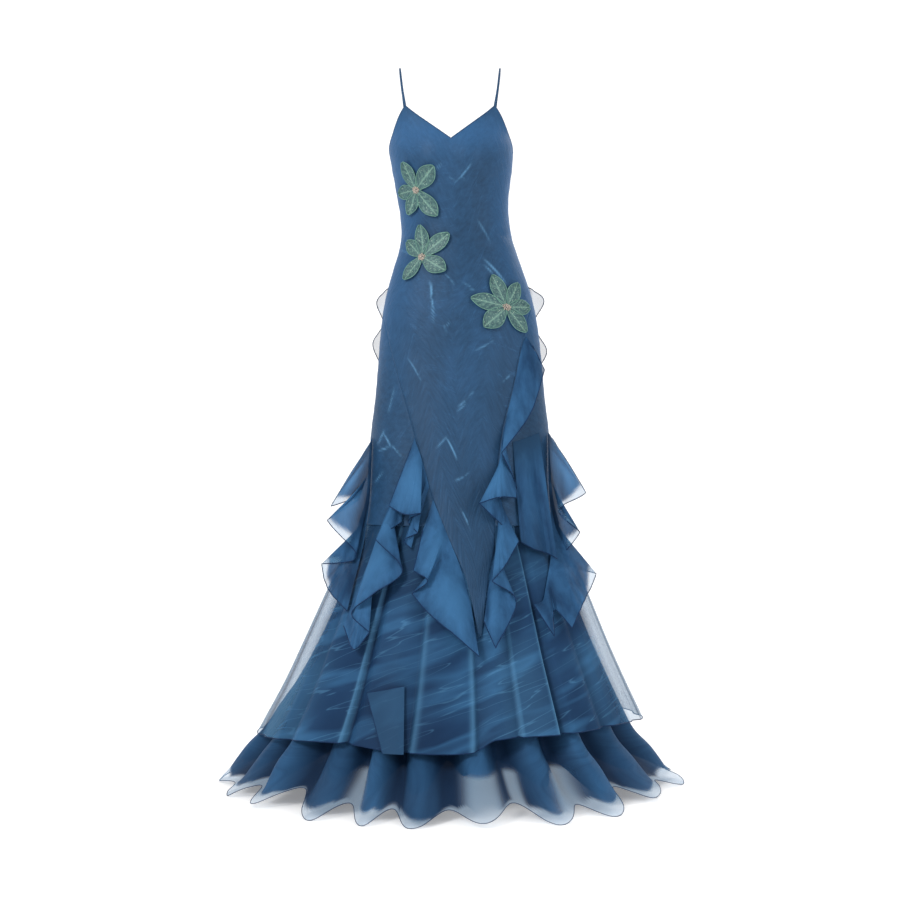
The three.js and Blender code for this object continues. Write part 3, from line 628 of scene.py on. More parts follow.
def satin():
    paint = Paint("satin_cloth", roughness=0.5, sheen=0.12, specular=0.16)
    clouds = paint.noise(paint.space("object", (1, 1, 0.6)), 5, 5, 0.6, 0.5)
    dull, clear = (0.011, 0.037, 0.080), (0.024, 0.077, 0.172)
    base = paint.ramp(clouds, [(0.34, dull), (0.52, (0.015, 0.050, 0.109)), (0.70, clear)])
    # Painted highlight on the flanks above the hips and on the top of the chest.
    base = paint.where("painted_highlight", base, (0.034, 0.112, 0.255))
    mottle = paint.noise(paint.space("cloth", (1, 1.6, 1), 25), 60, 6, 0.7)
    base = paint.mix(0.18, base, paint.ramp(mottle, [(0.35, dull), (0.65, BRIGHT)]))
    # Thin diagonal lines painted lighter as highlights on fine creases.
    crease_glints = paint.noise(paint.space("cloth", (1, 9, 1), -42), 9, 5, 0.6, 1.0)
    lines = paint.levels(crease_glints, [(0.575, 0), (0.59, 0.32), (0.605, 0)])
    base = paint.mix(lines, base, BRIGHT)
    # Painted highlight along the raised creases, broken into short pieces.
    broken = paint.levels(paint.specks(70, 3), [(0.34, 0.1), (0.52, 1)])
    crease = paint.math("MULTIPLY", paint.attribute("crease"), broken)
    paint.color(paint.mix(crease, base, (0.10, 0.26, 0.45)))
    grain = paint.specks(900, 2)
    crinkle = paint.noise(paint.space("cloth", (1, 2.0, 1), 30), 26, 5, 0.6, 0.6)
    paint.bump([(crinkle, 0.0016), (grain, 0.0002), (paint.weave(300), 0.000005)])
    return paint.material


def chiffon(name, base, light, fall, of="cloth"):
    """Plain dyed sheer cloth; its cover says how closely it lies, its painted shade how deep a fold
    is, and a painted highlight lies on the fold tops that stand out.
    """
    paint = Paint(name, roughness=0.6, sheen=0.06, specular=0.07)
    runs = paint.noise(paint.space(of, fall, 6), 5, 5, 0.6, 0.3)
    clouds = paint.specks(9, 5, 0.6)
    color = paint.mix(0.35, paint.ramp(runs, [(0.36, base), (0.64, light)]),
                      paint.ramp(clouds, [(0.35, base), (0.70, light)]))
    color = paint.where("lone", color, SINGLE)
    # Painted highlight on the tops of folds that stand out.
    color = paint.where("crest_highlight", color, (0.048, 0.160, 0.330))
    color = paint.where("merge", color, (0.016, 0.052, 0.110))
    paint.color(paint.where("shade", color, NIGHT))
    paint.feed(paint.shader, {"Alpha": paint.attribute("cover")})
    grain = paint.specks(700, 2)
    paint.bump([(runs, 0.0006), (grain, 0.0001), (paint.weave(300), 0.00002)])
    return paint.material


def dyed_chiffon():
    """Crinkle-dyed: pale wisps that rise from left to right over clouds of darker dye."""
    paint = Paint("dyed_cloth", roughness=0.55, sheen=0.05, specular=0.06)
    clouds = paint.noise(paint.space("cloth", (1, 1.9, 1), -24), 4.6, 2, 0.5, 0.7)
    base = paint.ramp(clouds, [(0.34, DYE_DARK), (0.50, DEEP), (0.64, DYE_MID), (0.82, BLUE)])
    wisps = paint.noise(paint.space("cloth", (1, 5, 1), -20), 3.2, 2.5, 0.5, 0.3)
    streaks = paint.levels(wisps, [(0.49, 0), (0.58, 0.5), (0.72, 0.05)])
    base = paint.mix(streaks, base, (0.044, 0.152, 0.310))
    threads = paint.noise(paint.space("cloth", (1, 11, 1), -21), 3.6, 2, 0.45, 0.0)
    fine = paint.levels(threads, [(0.52, 0), (0.53, 0.36), (0.545, 0)])
    base = paint.mix(fine, base, PALE)
    base = paint.where("plain", base, (0.015, 0.049, 0.106))
    base = paint.where("lone", base, SINGLE)
    # Painted shade in the folds, then a painted highlight along the laps' edges mixed with paler dye
    # in places.
    base = paint.where("shade", base, NIGHT)
    paint.color(paint.where("edge_highlight_and_paler_dye", base, PALE))
    paint.feed(paint.shader, {"Alpha": paint.attribute("cover")})
    paint.bump([(wisps, 0.0018), (threads, 0.0008), (paint.weave(300), 0.00002)])
    return paint.material


def plain_cloth(name, color, roughness=0.6, shaded=False):
    paint = Paint(name, roughness, sheen=0.05, specular=0.12)
    lighter = tuple(min(1, c * 1.5) for c in color)
    fine = paint.specks(60, 5)
    tone = paint.ramp(fine, [(0.35, color), (0.7, lighter)])
    # Painted shade, when shaded, where the shade attribute is set.
    paint.color(paint.where("shade", tone, NIGHT) if shaded else tone)
    paint.bump([(paint.specks(800, 2), 0.0003)])
    return paint.material


def organza():
    """Green petals with pale veins and threads over a darker ground, and painted glints where the
    threads catch the light.
    """
    paint = Paint("organza_cloth", roughness=0.45, sheen=0.1, specular=0.3)
    mottle = paint.specks(110, 6, 0.7)
    base = paint.ramp(mottle, [(0.36, (0.020, 0.060, 0.074)), (0.54, (0.046, 0.110, 0.112)),
                               (0.72, (0.105, 0.205, 0.185))])
    base = paint.where("vein", base, (0.150, 0.280, 0.235))
    # Painted glints, as light on shiny threads.
    glints = paint.specks(330, 3)
    paint.color(paint.mix(paint.levels(glints, [(0.62, 0), (0.68, 0.6)]),
                          base, (0.40, 0.56, 0.45)))
    paint.bump([(mottle, 0.0008), (glints, 0.0004)])
    return paint.material


def bead(name, color, roughness=0.25):
    paint = Paint(name, roughness=roughness, specular=0.6)
    tint = paint.specks(240, 2)
    paint.color(paint.ramp(tint, [(0.3, tuple(c * 0.7 for c in color)), (0.7, color)]))
    return paint.material


MATERIALS = {
    "satin": satin(),
    "dyed": dyed_chiffon(),
    "under": chiffon("under_cloth", (0.019, 0.063, 0.140), (0.030, 0.100, 0.215), (6, 1, 1)),
    "lining": plain_cloth("lining_cloth", (0.016, 0.052, 0.120), shaded=True),
    "ruffle": chiffon(
        "ruffle_cloth", (0.012, 0.044, 0.108), (0.038, 0.128, 0.275), (7, 7, 1.1), "object"
    ),
    "rolled": plain_cloth("rolled_hem", HEM_BLUE),
    "organza": organza(),
    "piping": plain_cloth("petal_piping", (0.11, 0.22, 0.18), roughness=0.4),
    "eye": bead("eye_beads", (0.55, 0.47, 0.40)),
    "spark": bead("petal_beads", (0.42, 0.58, 0.46), 0.15),
}


def dress(obj, material):
    obj.data.materials.clear()
    obj.data.materials.append(MATERIALS[material])
    return obj


def place(node, obj, material, slot):
    """A piece in a node's place."""
    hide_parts(node)
    dress(obj, material)


# Sheath
def top_edge(angle):
    return np.interp(np.abs(turned(angle)), TOP_EDGE["angle"], TOP_EDGE["z"])


def seam_at(rows, side, z):
    """Where a pointed panel's seam runs; above its first row it is the side seam."""
    return np.where(z > rows["z"][0] + SEAM_LEAD, side, read(rows, "z", z, "angle"))


def front_left(z):
    return seam_at(FRONT_SEAM_LEFT, -90, z)


def front_right(z):
    return seam_at(FRONT_SEAM_RIGHT, 90, z)


def back_right(z):
    return seam_at(BACK_SEAM, 90, z)


def back_left(z):
    return 360 - back_right(z)


def constant(angle):
    return lambda z: np.full_like(z, float(angle))


def sheath_panel(node, left, right, top, foot, rows, columns):
    """A panel of the sheath; its top is a height or a function of the angle."""
    share = down_by(columns).T
    down = down_by(rows)
    angle = np.zeros((rows, columns))
    z = np.full((rows, columns), float(foot))
    for _ in range(4):
        high = top(angle) if callable(top) else top
        z = high + (foot - high) * down
        gap = np.degrees(SEAM_GAP / 2 / (0.75 * read(FORM, "z", z, "half")))
        angle = left(z) + gap + (right(z) - left(z) - 2 * gap) * share
    flat = point_at(FORM, angle, z, 0)
    seen_x = flat[..., 0] * np.where(np.cos(np.radians(angle)) > 0, 1, -1)
    crease = marks(seen_x, z, CREASES)
    drag = marks(seen_x, z, DRAGS)
    width = np.linalg.norm(np.diff(flat, axis=1), axis=-1).sum(1)[:, None]
    to_seam = np.minimum(share, 1 - share) * width
    seam = -0.7 * hill(to_seam, 0, 2.2)
    puckers = 0.35 * np.sin(z / 5.2) * hill(to_seam, 0, 7)
    grid = point_at(FORM, angle, z, crease + drag + seam + puckers)
    # The sides above the hips and the top of the chest get a painted highlight.
    flank = share_of((np.abs(turned(angle)) - 30) / 50) * share_of((z + 700) / 200)
    chest = hill(z, -150, 45)
    # The crease attribute paints a highlight along the raised creases.
    look = {"crease": np.clip(crease * 1.1, 0, 0.85), "painted_highlight": 0.8 * np.maximum(flank, chest)}
    place(node, shell_mesh("cloth_" + node, grid, SHEATH_CLOTH, look), "satin", "sheath_satin")


left_hip, right_hip, back_hip = (
    rows["z"][0] for rows in (FRONT_SEAM_LEFT, FRONT_SEAM_RIGHT, BACK_SEAM)
)
sheath_panel("front_panel", front_left, front_right, top_edge, POINT_TIP, 380, 112)
sheath_panel("back_panel", back_right, back_left, top_edge, POINT_TIP, 220, 64)
sheath_panel("side_front_left", constant(-90), front_left, left_hip, SIDE_PANEL_HEM, 130, 40)
sheath_panel("side_front_right", front_right, constant(90), right_hip, SIDE_PANEL_HEM, 130, 40)
sheath_panel("side_back_right", constant(90), back_right, back_hip, SIDE_PANEL_HEM, 110, 36)
sheath_panel("side_back_left", back_left, constant(270), back_hip, SIDE_PANEL_HEM, 110, 36)


def neck_binding():
    """A narrow rolled edge round the neckline and underarms."""
    corners = np.concatenate([TOP_EDGE["angle"], -TOP_EDGE["angle"]])
    angle = np.unique(np.concatenate([np.arange(-180, 180, 1.5), corners]))[:-1]
    path = point_at(FORM, angle, top_edge(angle) + 0.4, -SHEATH_CLOTH / 2)
    dress(tube_mesh("neck_binding", path, 1.1, closed=True), "satin")


neck_binding()


def strap(node, side):
    def end(angle):
        return point_at(FORM, side * angle, top_edge(angle) + 0.7, -0.7)

    middle = np.stack([side * STRAP_ROUTE["x"], STRAP_ROUTE["y"], STRAP_ROUTE["z"]], -1)
    route = np.vstack([end(STRAP_ENDS["front"]), middle, end(STRAP_ENDS["back"])])
    at = np.concatenate([[0], np.linalg.norm(np.diff(route, axis=0), axis=1).cumsum()])
    steps = np.linspace(0, at[-1], 120)
    rows = {"at": at, "x": route[:, 0], "y": route[:, 1], "z": route[:, 2]}
    path = np.stack([read(rows, "at", steps, axis) for axis in "xyz"], -1)
    place(node, tube_mesh("cloth_" + node, path, STRAP_WIDTH / 2 - 0.1, 12), "satin", "sheath_satin")


strap("strap_right", 1)
strap("strap_left", -1)


# Skirts
def bump(distance):
    return np.where(np.abs(distance) < 1, (1 + np.cos(np.pi * np.clip(distance, -1, 1))) / 2, 0)


def fold_shares(angle):
    """How far the overskirt is pressed in at an angle, by fold depths, and where a lap's edge runs."""
    pressed, edge = 0, 0
    for at, width, depth, lap in zip(*OVERSKIRT_FOLDS.values()):
        away = turned(angle - at) / width
        if lap:
            away = away * lap
            trough = np.where(away < 0, share_of(1 + away / 0.16), share_of(1 - away) ** 1.2)
            edge = edge + hill(away, -0.2, 0.13) * depth / DEEPEST_FOLD
        else:
            trough = bump(away)
        pressed = pressed + depth * trough
    return pressed, edge


def fold_growth(z):
    return share_of((OVERSKIRT_TOP - z) / (OVERSKIRT_TOP - OVERSKIRT_FOOT)) ** 1.1


def overskirt_out(angle, z):
    inset = inset_at(OVERSKIRT_INSET, OVERSKIRT_TOP, z)
    return -inset - fold_growth(z) * fold_shares(angle)[0]


def overskirt_hem(angle):
    return read(OVERSKIRT_HEM, "angle", turned(angle), "z")


def overskirt_look(angle, z):
    """The dyed cloth is sheer at the sides and close in front and behind; its folds are painted dark
    with shade, and each lap's edge gets a painted highlight.
    """
    off = np.abs(turned(angle))
    off = np.minimum(off, 180 - off)
    close = share_of((68 - off) / 14)
    pressed, edge = fold_shares(angle)
    grown = fold_growth(z) ** 0.5
    shade = share_of(pressed / DEEPEST_FOLD) ** 1.3 * 0.85 * grown * close
    streak = hill(off, 79, 1.3) + hill(off, 86, 0.9)
    cover = 0.46 + 0.51 * close + 0.3 * streak
    plain = share_of((z - DYE_TOP) / 150) * 0.9 + 0.9 * share_of((off - 66) / 8)
    low = share_of((LOW_DYE - z) / 80)
    # A painted highlight along each lap's edge, and paler dye low down where the PALER table says.
    edge_highlight_and_paler_dye = np.clip(edge * grown * 0.65, 0, 0.6)
    for at, width, light in zip(*PALER.values()):
        edge_highlight_and_paler_dye = edge_highlight_and_paler_dye + light * hill(turned(angle), at, width) * low
    # Darker dye left of the middle, low down, goes through the same mix as the painted shade.
    shade = np.maximum(shade, 0.5 * hill(turned(angle), -17, 18) * low)
    look = {"cover": cover + 0 * z, "lone": lone(cover) + 0 * z, "shade": shade, "edge_highlight_and_paler_dye": edge_highlight_and_paler_dye}
    return look | {"plain": share_of(plain)}


def flute_at(angle):
    """How far the flutes swell at an angle, as a share, and how high the hem rises."""
    first = FLUTES["angle"][0]
    at = (angle - first) % 360 + first
    edges = np.append(FLUTES["angle"], first + 360)
    i = np.clip(np.searchsorted(edges, at, side="right") - 1, 0, len(edges) - 2)
    t = (at - edges[i]) / (edges[i + 1] - edges[i])
    after = (i + 1) % len(FLUTES["angle"])
    wave = 1 - 2 * np.abs(np.sin(np.pi * t)) ** 2.5
    reach = np.where(t < 0.5, FLUTES["reach"][i], FLUTES["reach"][after])
    swell = np.where(wave > 0, wave * reach, wave * 0.95)
    return swell, FLUTES["rise"][i] * np.sin(np.pi * t) ** 2 * 0.8


def leaning_swell(angle, z):
    """The flutes' swell with the lean that they have as they fall."""
    return flute_at(angle + FLUTE_LEAN["by"] * (z - FLUTE_LEAN["from"]))[0]


def underskirt_points(angle, z, inset=0.0):
    swell = leaning_swell(angle, z)
    grown = share_of((UNDERSKIRT_TOP - z) / (UNDERSKIRT_TOP - FLOOR)) ** 2
    ripple = 4.5 * grown * wave(angle * 9.7 + z * 0.35) * np.cos(np.radians(angle * 4.3))
    return point_at(UNDER_FORM, angle, z, read(UNDER_FORM, "z", z, "flute") * swell + ripple - inset)


def lining_points(angle, z):
    under = inset_at(OVERSKIRT_INSET, OVERSKIRT_TOP, z) + SHEER_CLOTH + LAYER_GAP
    inset = inset_at(LINING_INSET, UNDERSKIRT_TOP, z)
    left = share_of((LINING_LEAVES["from"] - z) / (LINING_LEAVES["from"] - LINING_LEAVES["to"]))
    share = eased(left)[..., None]
    close = point_at(FORM, angle, z, -under)
    return close + (underskirt_points(angle, z, inset) - close) * share


HALVES = {"front": (-90, 90), "back": (90, 270)}


def half_grid(half, top, hem, rows, columns):
    start, stop = HALVES[half]
    angle = np.linspace(start + 0.002, stop - 0.002, columns)[None, :]
    down = down_by(rows)
    return np.broadcast_to(angle, (rows, columns)), top + (hem(angle) - top) * down


def hang(node, grid, look, material, slot):
    place(node, sheet_mesh("cloth_" + node, grid, look), material, slot)


def rolled_edge(name, path, radius=ROLLED_HEM):
    dress(tube_mesh(name, path, radius, 6), "rolled")


def overskirt(half):
    angle, z = half_grid(half, OVERSKIRT_TOP, overskirt_hem, 150, 300)
    grid = point_at(FORM, angle, z, overskirt_out(angle, z))
    hang("overskirt_" + half, grid, overskirt_look(angle, z), "dyed", "dyed_chiffon")
    rolled_edge("hem_overskirt_" + half, grid[-1])


def windows_at(angle):
    """Where the lining stops short in a valley, so that the floor shows through the sheer cloth."""
    places = zip(SHEER_WINDOWS["angle"], SHEER_WINDOWS["width"])
    some = sum(np.exp(-((turned(angle - at) / width) ** 4)) for at, width in places)
    return share_of(some)


def valley(angle, z):
    """How dark a flute's valley lies in its neighbours' shade."""
    swell = leaning_swell(angle, z)
    grown = share_of((VALLEY_TOP - z) / 190)
    return share_of((1 - swell) / 1.6) ** 0.9 * 0.93 * grown


def underskirt(half):
    rows = 110
    angle, z = half_grid(half, UNDERSKIRT_TOP, lambda a: FLOOR + 1.2 + flute_at(a)[1], rows, 340)
    share = down_by(rows)
    curl = share_of((share - 0.92) / 0.08) ** 2
    turnout = curl * (5 + 7 * wave(angle * 5.3))
    z = z + curl * 9 * share_of(wave(angle * 6.5 + 40))
    grid = underskirt_points(angle, z, -turnout)
    uneven = 0.008 * wave(angle * 11) + 0.010 * wave(angle * 23 + 40)
    flank = share_of((np.abs(wave(angle)) - 0.7) / 0.3)
    lies_out = share_of(flute_at(angle)[0] + 0.3)
    band = share_of((share - 0.985 + 0.042 * lies_out + 0.02 * flank + uneven) / 0.013)
    deep = valley(angle, z)
    window = windows_at(angle) * share_of((WINDOW_TOP - z) / 9)
    pale = np.maximum(band, window)
    cover = 0.985 - 0.64 * pale
    look = {"cover": cover, "lone": lone(cover), "shade": deep * (1 - 0.9 * pale)}
    hang("underskirt_" + half, grid, look, "under", "plain_chiffon")
    rolled_edge("hem_underskirt_" + half, grid[-1], FINE_HEM)


def lining_hem(angle):
    swell, _ = flute_at(angle)
    waves = 7 * wave(angle * 7.3) + 4 * wave(angle * 17 + 50)
    plain = LINING_HEM - 22 * swell + waves
    return plain + (LINING_WINDOW - plain) * windows_at(angle)


def lining(half):
    angle, z = half_grid(half, LINING_TOP, lining_hem, 120, 260)
    hang("lining_" + half, lining_points(angle, z), {"shade": valley(angle, z)}, "lining", "lining")


def flap():
    """A corner of the overskirt's front that has turned back and lies on it."""
    down, share = down_by(26), down_by(14).T
    left, right = FLAP["top_left"], FLAP["top_right"]
    x = left[0] + (FLAP["foot_left"][0] - left[0]) * down
    x = x + (right[0] - x) * share
    top = left[1] + (right[1] - left[1]) * share
    z = top + (FLAP["foot_left"][1] - top) * down
    grid = point_across(x, z, 1.5 + 2 * np.sin(share * np.pi), 1)
    even = np.ones_like(x)
    look = {"cover": 0.97 * even, "lone": 0.03 * even, "plain": 0.8 * even}
    dress(sheet_mesh("cloth_flap", grid, look), "dyed")
    rolled_edge("hem_flap", np.concatenate([grid[0, ::-1], grid[1:, 0]]), FINE_HEM)


flap()
for half in HALVES:
    overskirt(half)
    underskirt(half)
    lining(half)


# Ruffles
SEAM_OUT = 1.2
PER_TURN = 22
ACROSS = 22


def along_edge(rows, column, s, pointed):
    """A column between rows, smooth, or with a corner at every other row, where the tips are."""
    y = rows[column]
    last = len(y) - 1
    i = np.clip(np.floor(s).astype(int), 0, last - 1)
    step = y[i + 1] - y[i]
    before = y[i] - y[np.maximum(i - 1, 0)]
    after = y[np.minimum(i + 2, last)] - y[i + 1]
    start = (before + step) / 2
    end = (step + after) / 2
    if pointed:
        start = np.where(i % 2 == 1, step, start)
        end = np.where(i % 2 == 0, step, end)
    return curve(s - i, y, i, start, end)


def ruffle_grid(rows, side):
    s = np.linspace(0, len(rows["out"]) - 1, (len(rows["out"]) - 1) * PER_TURN + 1)[:, None]
    t = down_by(ACROSS).T

    def blend(seam, edge):
        start = along_edge(rows, seam, s, False)
        return start + (along_edge(rows, edge, s, side > 0) - start) * t

    spread = min(1, np.abs(np.diff(rows["edge_z"])).mean() / 60)
    flutter = spread * t**2 * 2.4 * np.sin(2 * np.pi * (1.9 * s + 0.37 * np.sin(3.1 * s)))
    out = np.maximum(along_edge(rows, "out", s, False), SEAM_OUT + 2.5)
    lift = SEAM_OUT + (out - SEAM_OUT) * np.sin(t * np.pi / 2) + np.minimum(flutter, out * t / 3)
    grid = point_across(blend("seam_x", "edge_x"), blend("seam_z", "edge_z"), lift, side)
    stands = out / rows["out"].max()
    hollow = np.sin(np.pi * np.clip(t, 0.1, 0.9))
    # Painted shade in the low folds, and a painted highlight on the fold tops that stand out.
    look = {
        "shade": share_of(1 - 1.7 * stands) * 0.8 * hollow,
        "crest_highlight": np.clip(stands * 1.8 - 0.9, 0, 0.75) * np.sin(np.pi * share_of(t)) ** 0.7,
    }
    return grid, look, t + 0 * s, s + 0 * t


def ruffle(node, rows, side, closest, palest, pales, merge=0.0):
    """A ruffle's cover over its body, and where its edge stands clear of the gown."""
    grid, look, t, s = ruffle_grid(table(RUFFLE_COLUMNS, rows), side)
    x, z = grid[..., 0], grid[..., 2]
    half = read(FORM, "z", z, "half")
    clear = share_of((np.abs(x - read(FORM, "z", z, "centre")) / half - 0.93) / 0.08)
    pale = clear * share_of((t - pales["from"] - pales["sway"] * np.sin(4.7 * s)) / pales["over"])
    look["merge"] = merge * share_of(1 - t / 0.4)
    look["shade"] = np.maximum(look["shade"], merge * 0.6 * t)
    look["crest_highlight"] = look["crest_highlight"] * (1 - 0.5 * merge)
    look["cover"] = closest + (palest - closest) * eased(pale)
    look["lone"] = lone(look["cover"]) * pale
    hang(node, grid, look, "ruffle", "ruffle_chiffon")
    rolled_edge("hem_" + node, grid[:, -1])


PALES = {
    "side": {"from": 0.84, "sway": 0.05, "over": 0.09},
    "front": {"from": 0.7, "sway": 0.1, "over": 0.2},
    "back": {"from": 0.3, "sway": 0.05, "over": 0.3},
}
for node, rows in RUFFLES.items():
    if "side" in node:
        ruffle(node, rows, 1, 0.97, 0.44, PALES["side"])
    elif node == "ruffle_front_right":
        ruffle(node, rows, 1, 0.98, 0.95, PALES["front"], 1.0)
    else:
        ruffle(node, rows, 1, 0.93, 0.80, PALES["front"])
for node, rows in BACK_RUFFLES.items():
    ruffle(node, rows, -1, 0.9, 0.42, PALES["back"])


# Flowers
def petal_grid(flower, petal, rows=18, columns=13):
    """Points of one petal with its vein marks: a pointed leaf, cupped, with a raised midrib."""
    bearing = math.radians(petal["bearing"])
    along = np.linspace(0.05, 1, rows)[:, None]
    across = np.linspace(-1, 1, columns)[None, :]
    width = petal["width"] * 0.6 * np.sin(np.pi * (0.05 + 0.92 * along**1.3)) ** 0.82
    right = math.cos(bearing) * along * petal["length"] - math.sin(bearing) * across * width
    up = math.sin(bearing) * along * petal["length"] + math.cos(bearing) * across * width
    z = flower["z"] + up
    a = math.radians(flower["angle"])
    half, front = read(FORM, "z", z, "half"), read(FORM, "z", z, "front")
    radius = np.hypot(half * math.cos(a), front * math.sin(a))
    midrib = hill(across * width, 0, 0.9) * np.ones_like(along)
    off = np.abs(across)
    side_veins = np.abs(np.sin(np.pi * (along * 6 - off * 1.3))) ** 12 * (1 - off**4)
    vein = share_of(midrib + 0.6 * side_veins)
    cup = PETAL_CUP * off**2 * along
    out = FLOWER_LIFT + 1.0 + 2 * along + cup + 0.5 * midrib
    return point_at(FORM, flower["angle"] + np.degrees(right / radius), z, out), vein


def ball(centre, radius, rings=6, sides=8):
    """Points and faces of one small round bead."""
    points, faces = [], []
    for ring in range(1, rings):
        tilt = math.pi * ring / rings
        for s in range(sides):
            turn = 2 * math.pi * s / sides
            flat = math.sin(tilt)
            points.append([flat * math.cos(turn), flat * math.sin(turn), math.cos(tilt)])
    top, foot = len(points), len(points) + 1
    points += [[0, 0, 1], [0, 0, -1]]
    for s in range(sides):
        t = (s + 1) % sides
        faces.append([top, s, t])
        faces.append([foot, (rings - 2) * sides + t, (rings - 2) * sides + s])
        for ring in range(rings - 2):
            a = ring * sides
            faces.append([a + s, a + sides + s, a + sides + t, a + t])
    return np.array(points) * radius + centre, faces


def beads(name, centres, radii):
    points, faces = [], []
    for centre, radius in zip(centres, radii):
        more, ring = ball(np.asarray(centre), radius)
        offset = sum(len(p) for p in points)
        points.append(more)
        faces += [[offset + v for v in face] for face in ring]
    return add_mesh(name, np.concatenate(points), faces)


def flower(node, facts):
    petals, pipings, sparks = [], [], []
    for i, row in enumerate(facts["petals"]):
        petal = dict(zip(PETAL_COLUMNS, row))
        grid, vein = petal_grid(facts, petal)
        leaf = shell_mesh(f"{node}_petal_{i}", grid, PETAL_CLOTH, {"vein": vein})
        petals.append(dress(leaf, "organza"))
        rim = np.concatenate([grid[:, 0], grid[-1, 1:], grid[::-1, -1][1:]])
        pipings.append(dress(tube_mesh(f"{node}_piping_{i}", rim, 0.75, 6), "piping"))
        inner = grid[3:-2, 2:-2].reshape(-1, 3)
        chosen = inner[rng.choice(len(inner), PETAL_BEADS, replace=False)]
        middle = grid[2:-2:2, grid.shape[1] // 2]
        outward = normals_of(grid).mean((0, 1))
        sparks += list(chosen + outward * 0.5) + list(middle + outward * 0.7)
    whole = joined("cloth_" + node, petals)
    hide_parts(node)
    joined("piping_" + node, pipings)
    dress(beads("sparks_" + node, sparks, rng.uniform(0.5, 0.8, len(sparks))), "spark")
    spiral = np.arange(EYE_BEADS)
    reach = EYE_RADIUS * np.sqrt(spiral / EYE_BEADS)
    turn = spiral * GOLDEN_TURN
    z = facts["z"] + reach * np.sin(turn)
    angle = facts["angle"] + np.degrees(reach * np.cos(turn) / 100)
    centres = point_at(FORM, angle, z, FLOWER_LIFT + 4.6 - 2.4 * (reach / EYE_RADIUS) ** 2)
    dress(beads("eye_" + node, centres, rng.uniform(1.1, 1.6, EYE_BEADS)), "eye")


for node, facts in FLOWERS.items():
    flower(node, facts)


# What each piece was cut to and what it hangs from; areas are in square metres. The flowers are
# laid on, and the flap is folded over.
PANELS = ["front_panel", "back_panel"]
SIDES = ["side_front_left", "side_front_right", "side_back_left", "side_back_right"]
CUTS = [
    ["front_panel", 450, 1070, 0.242, ["strap_left", "strap_right"]],
    ["back_panel", 380, 1000, 0.227, ["strap_left", "strap_right"]],
    ["side_front_left", 266, 450, 0.061, ["front_panel"]],
    ["side_front_right", 225, 490, 0.065, ["front_panel"]],
    ["side_back_left", 241, 525, 0.065, ["back_panel"]],
    ["side_back_right", 241, 525, 0.065, ["back_panel"]],
    ["overskirt_front", 1240, 540, 0.465, SIDES],
    ["overskirt_back", 1290, 540, 0.490, SIDES],
    ["underskirt_front", 2180, 500, 0.526, ["lining_front"]],
    ["underskirt_back", 2060, 490, 0.513, ["lining_back"]],
    ["lining_front", 2300, 620, 0.522, SIDES],
    ["lining_back", 2300, 620, 0.524, SIDES],
    ["ruffle_side_left", 150, 720, 0.0365, SIDES[:1]],
    ["ruffle_side_right", 140, 920, 0.0435, SIDES[1:2]],
    ["ruffle_front_left", 160, 460, 0.0335, SIDES[:1]],
    ["ruffle_front_right", 272, 99, 0.0190, SIDES[1:2]],
    ["ruffle_point_left", 130, 340, 0.0157, PANELS[:1]],
    ["ruffle_centre", 135, 360, 0.0243, PANELS[:1]],
    ["ruffle_point_right", 130, 950, 0.0428, PANELS[:1]],
    ["ruffle_back_left", 130, 1100, 0.0496, PANELS[1:]],
    ["ruffle_back_right", 135, 1150, 0.0511, PANELS[1:]],
    ["flower_ribs", 115, 120, 0.0077, PANELS[:1]],
    ["flower_waist", 105, 115, 0.0074, PANELS[:1]],
    ["flower_hip", 130, 120, 0.0102, PANELS[:1]],
    ["flap", 79, 135, 0.0077, ["overskirt_front"]],
]


def declare(node, width, length, area, rests_on):
    whole = bpy.data.objects
    trims = [kind + node for kind in ("hem_", "piping_", "sparks_", "eye_")]
    sewn = [whole[trim] for trim in trims if trim in whole]
    if node == "front_panel":
        sewn.append(whole["neck_binding"])


for row in CUTS:
    declare(*row)


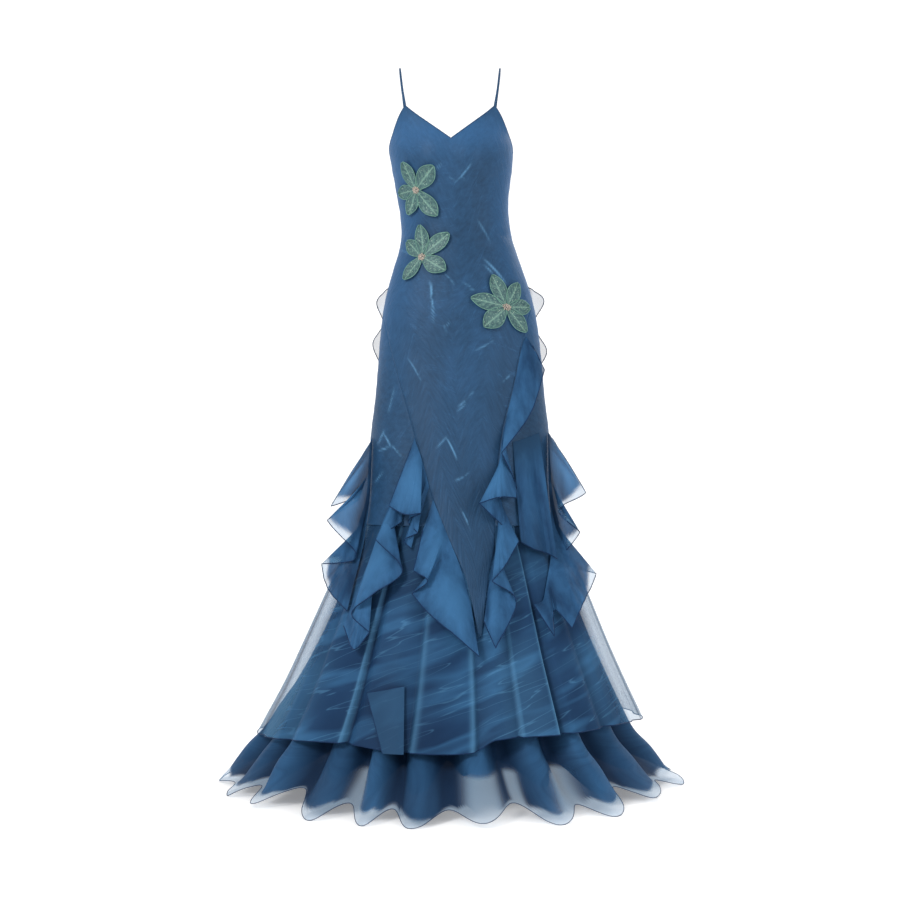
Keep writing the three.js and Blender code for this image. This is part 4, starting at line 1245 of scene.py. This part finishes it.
# Stage
def backdrop():
    """A pale floor that curves up into a wall behind the gown."""
    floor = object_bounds()[0][2]
    bend = 1.5
    turn = np.radians(np.linspace(0, 90, 16))
    depth = np.concatenate([[-7.0], 3.0 + bend * np.sin(turn), [3.0 + bend]])
    height = np.concatenate([[0.0], bend * (1 - np.cos(turn)), [7.0]])
    points = [[x, y, floor + z] for y, z in zip(depth, height) for x in (-9.0, 9.0)]
    faces = [[2 * i, 2 * i + 1, 2 * i + 3, 2 * i + 2] for i in range(len(depth) - 1)]
    mesh = bpy.data.meshes.new("backdrop")
    mesh.from_pydata(points, [], faces)
    mesh.polygons.foreach_set("use_smooth", [True] * len(mesh.polygons))
    obj = linked("backdrop", mesh)
    paper = Paint("backdrop_paper", roughness=0.9, specular=0.1)
    white = {"Base Color": (0.95, 0.95, 0.95, 1), "Emission Color": (1, 1, 1, 1)}
    paper.feed(paper.shader, white | {"Emission Strength": 0.22})
    obj.data.materials.append(paper.material)
    obj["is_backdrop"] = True


def area_light(name, place, aim, size, power):
    light = bpy.data.lights.new(name, "AREA")
    light.shape = "DISK"
    light.size = size
    light.energy = power
    obj = linked(name, light)
    obj.location = place
    toward = np.array(aim, float) - np.array(place, float)
    pitch = math.atan2(math.hypot(toward[0], toward[1]), -toward[2])
    obj.rotation_euler = (pitch, 0, math.atan2(toward[1], toward[0]) - math.pi / 2)


def studio():
    world = bpy.data.worlds.new("studio")
    world.use_nodes = True
    background = world.node_tree.nodes["Background"]
    background.inputs["Color"].default_value = (1, 1, 1, 1)
    background.inputs["Strength"].default_value = 0.6
    bpy.context.scene.world = world
    area_light("key", (-2.6, -3.6, 1.6), (0, 0, -0.7), 1.6, 130)
    area_light("fill", (3.2, -3.0, 0.4), (0, 0, -0.8), 2.2, 45)
    area_light("rim", (1.8, 2.6, 1.6), (0, 0, -0.6), 1.4, 60)
    bpy.context.scene.view_settings.view_transform = "Standard"
    bpy.context.scene.cycles.transparent_max_bounces = 48


# A level view of the gown's front at its middle height, in metres.
CAMERA_DISTANCE = 3.5
FIELD_WIDTH = 1.89
VIEW_CENTRE = -0.802
SENSOR = 36


def camera():
    data = bpy.data.cameras.new("camera")
    data.sensor_width = SENSOR
    data.lens = SENSOR * CAMERA_DISTANCE / FIELD_WIDTH
    obj = linked("camera", data)
    obj.location = (0, -CAMERA_DISTANCE, VIEW_CENTRE)
    obj.rotation_euler = (math.radians(90), 0, 0)
    bpy.context.scene.camera = obj


backdrop()
studio()
camera()
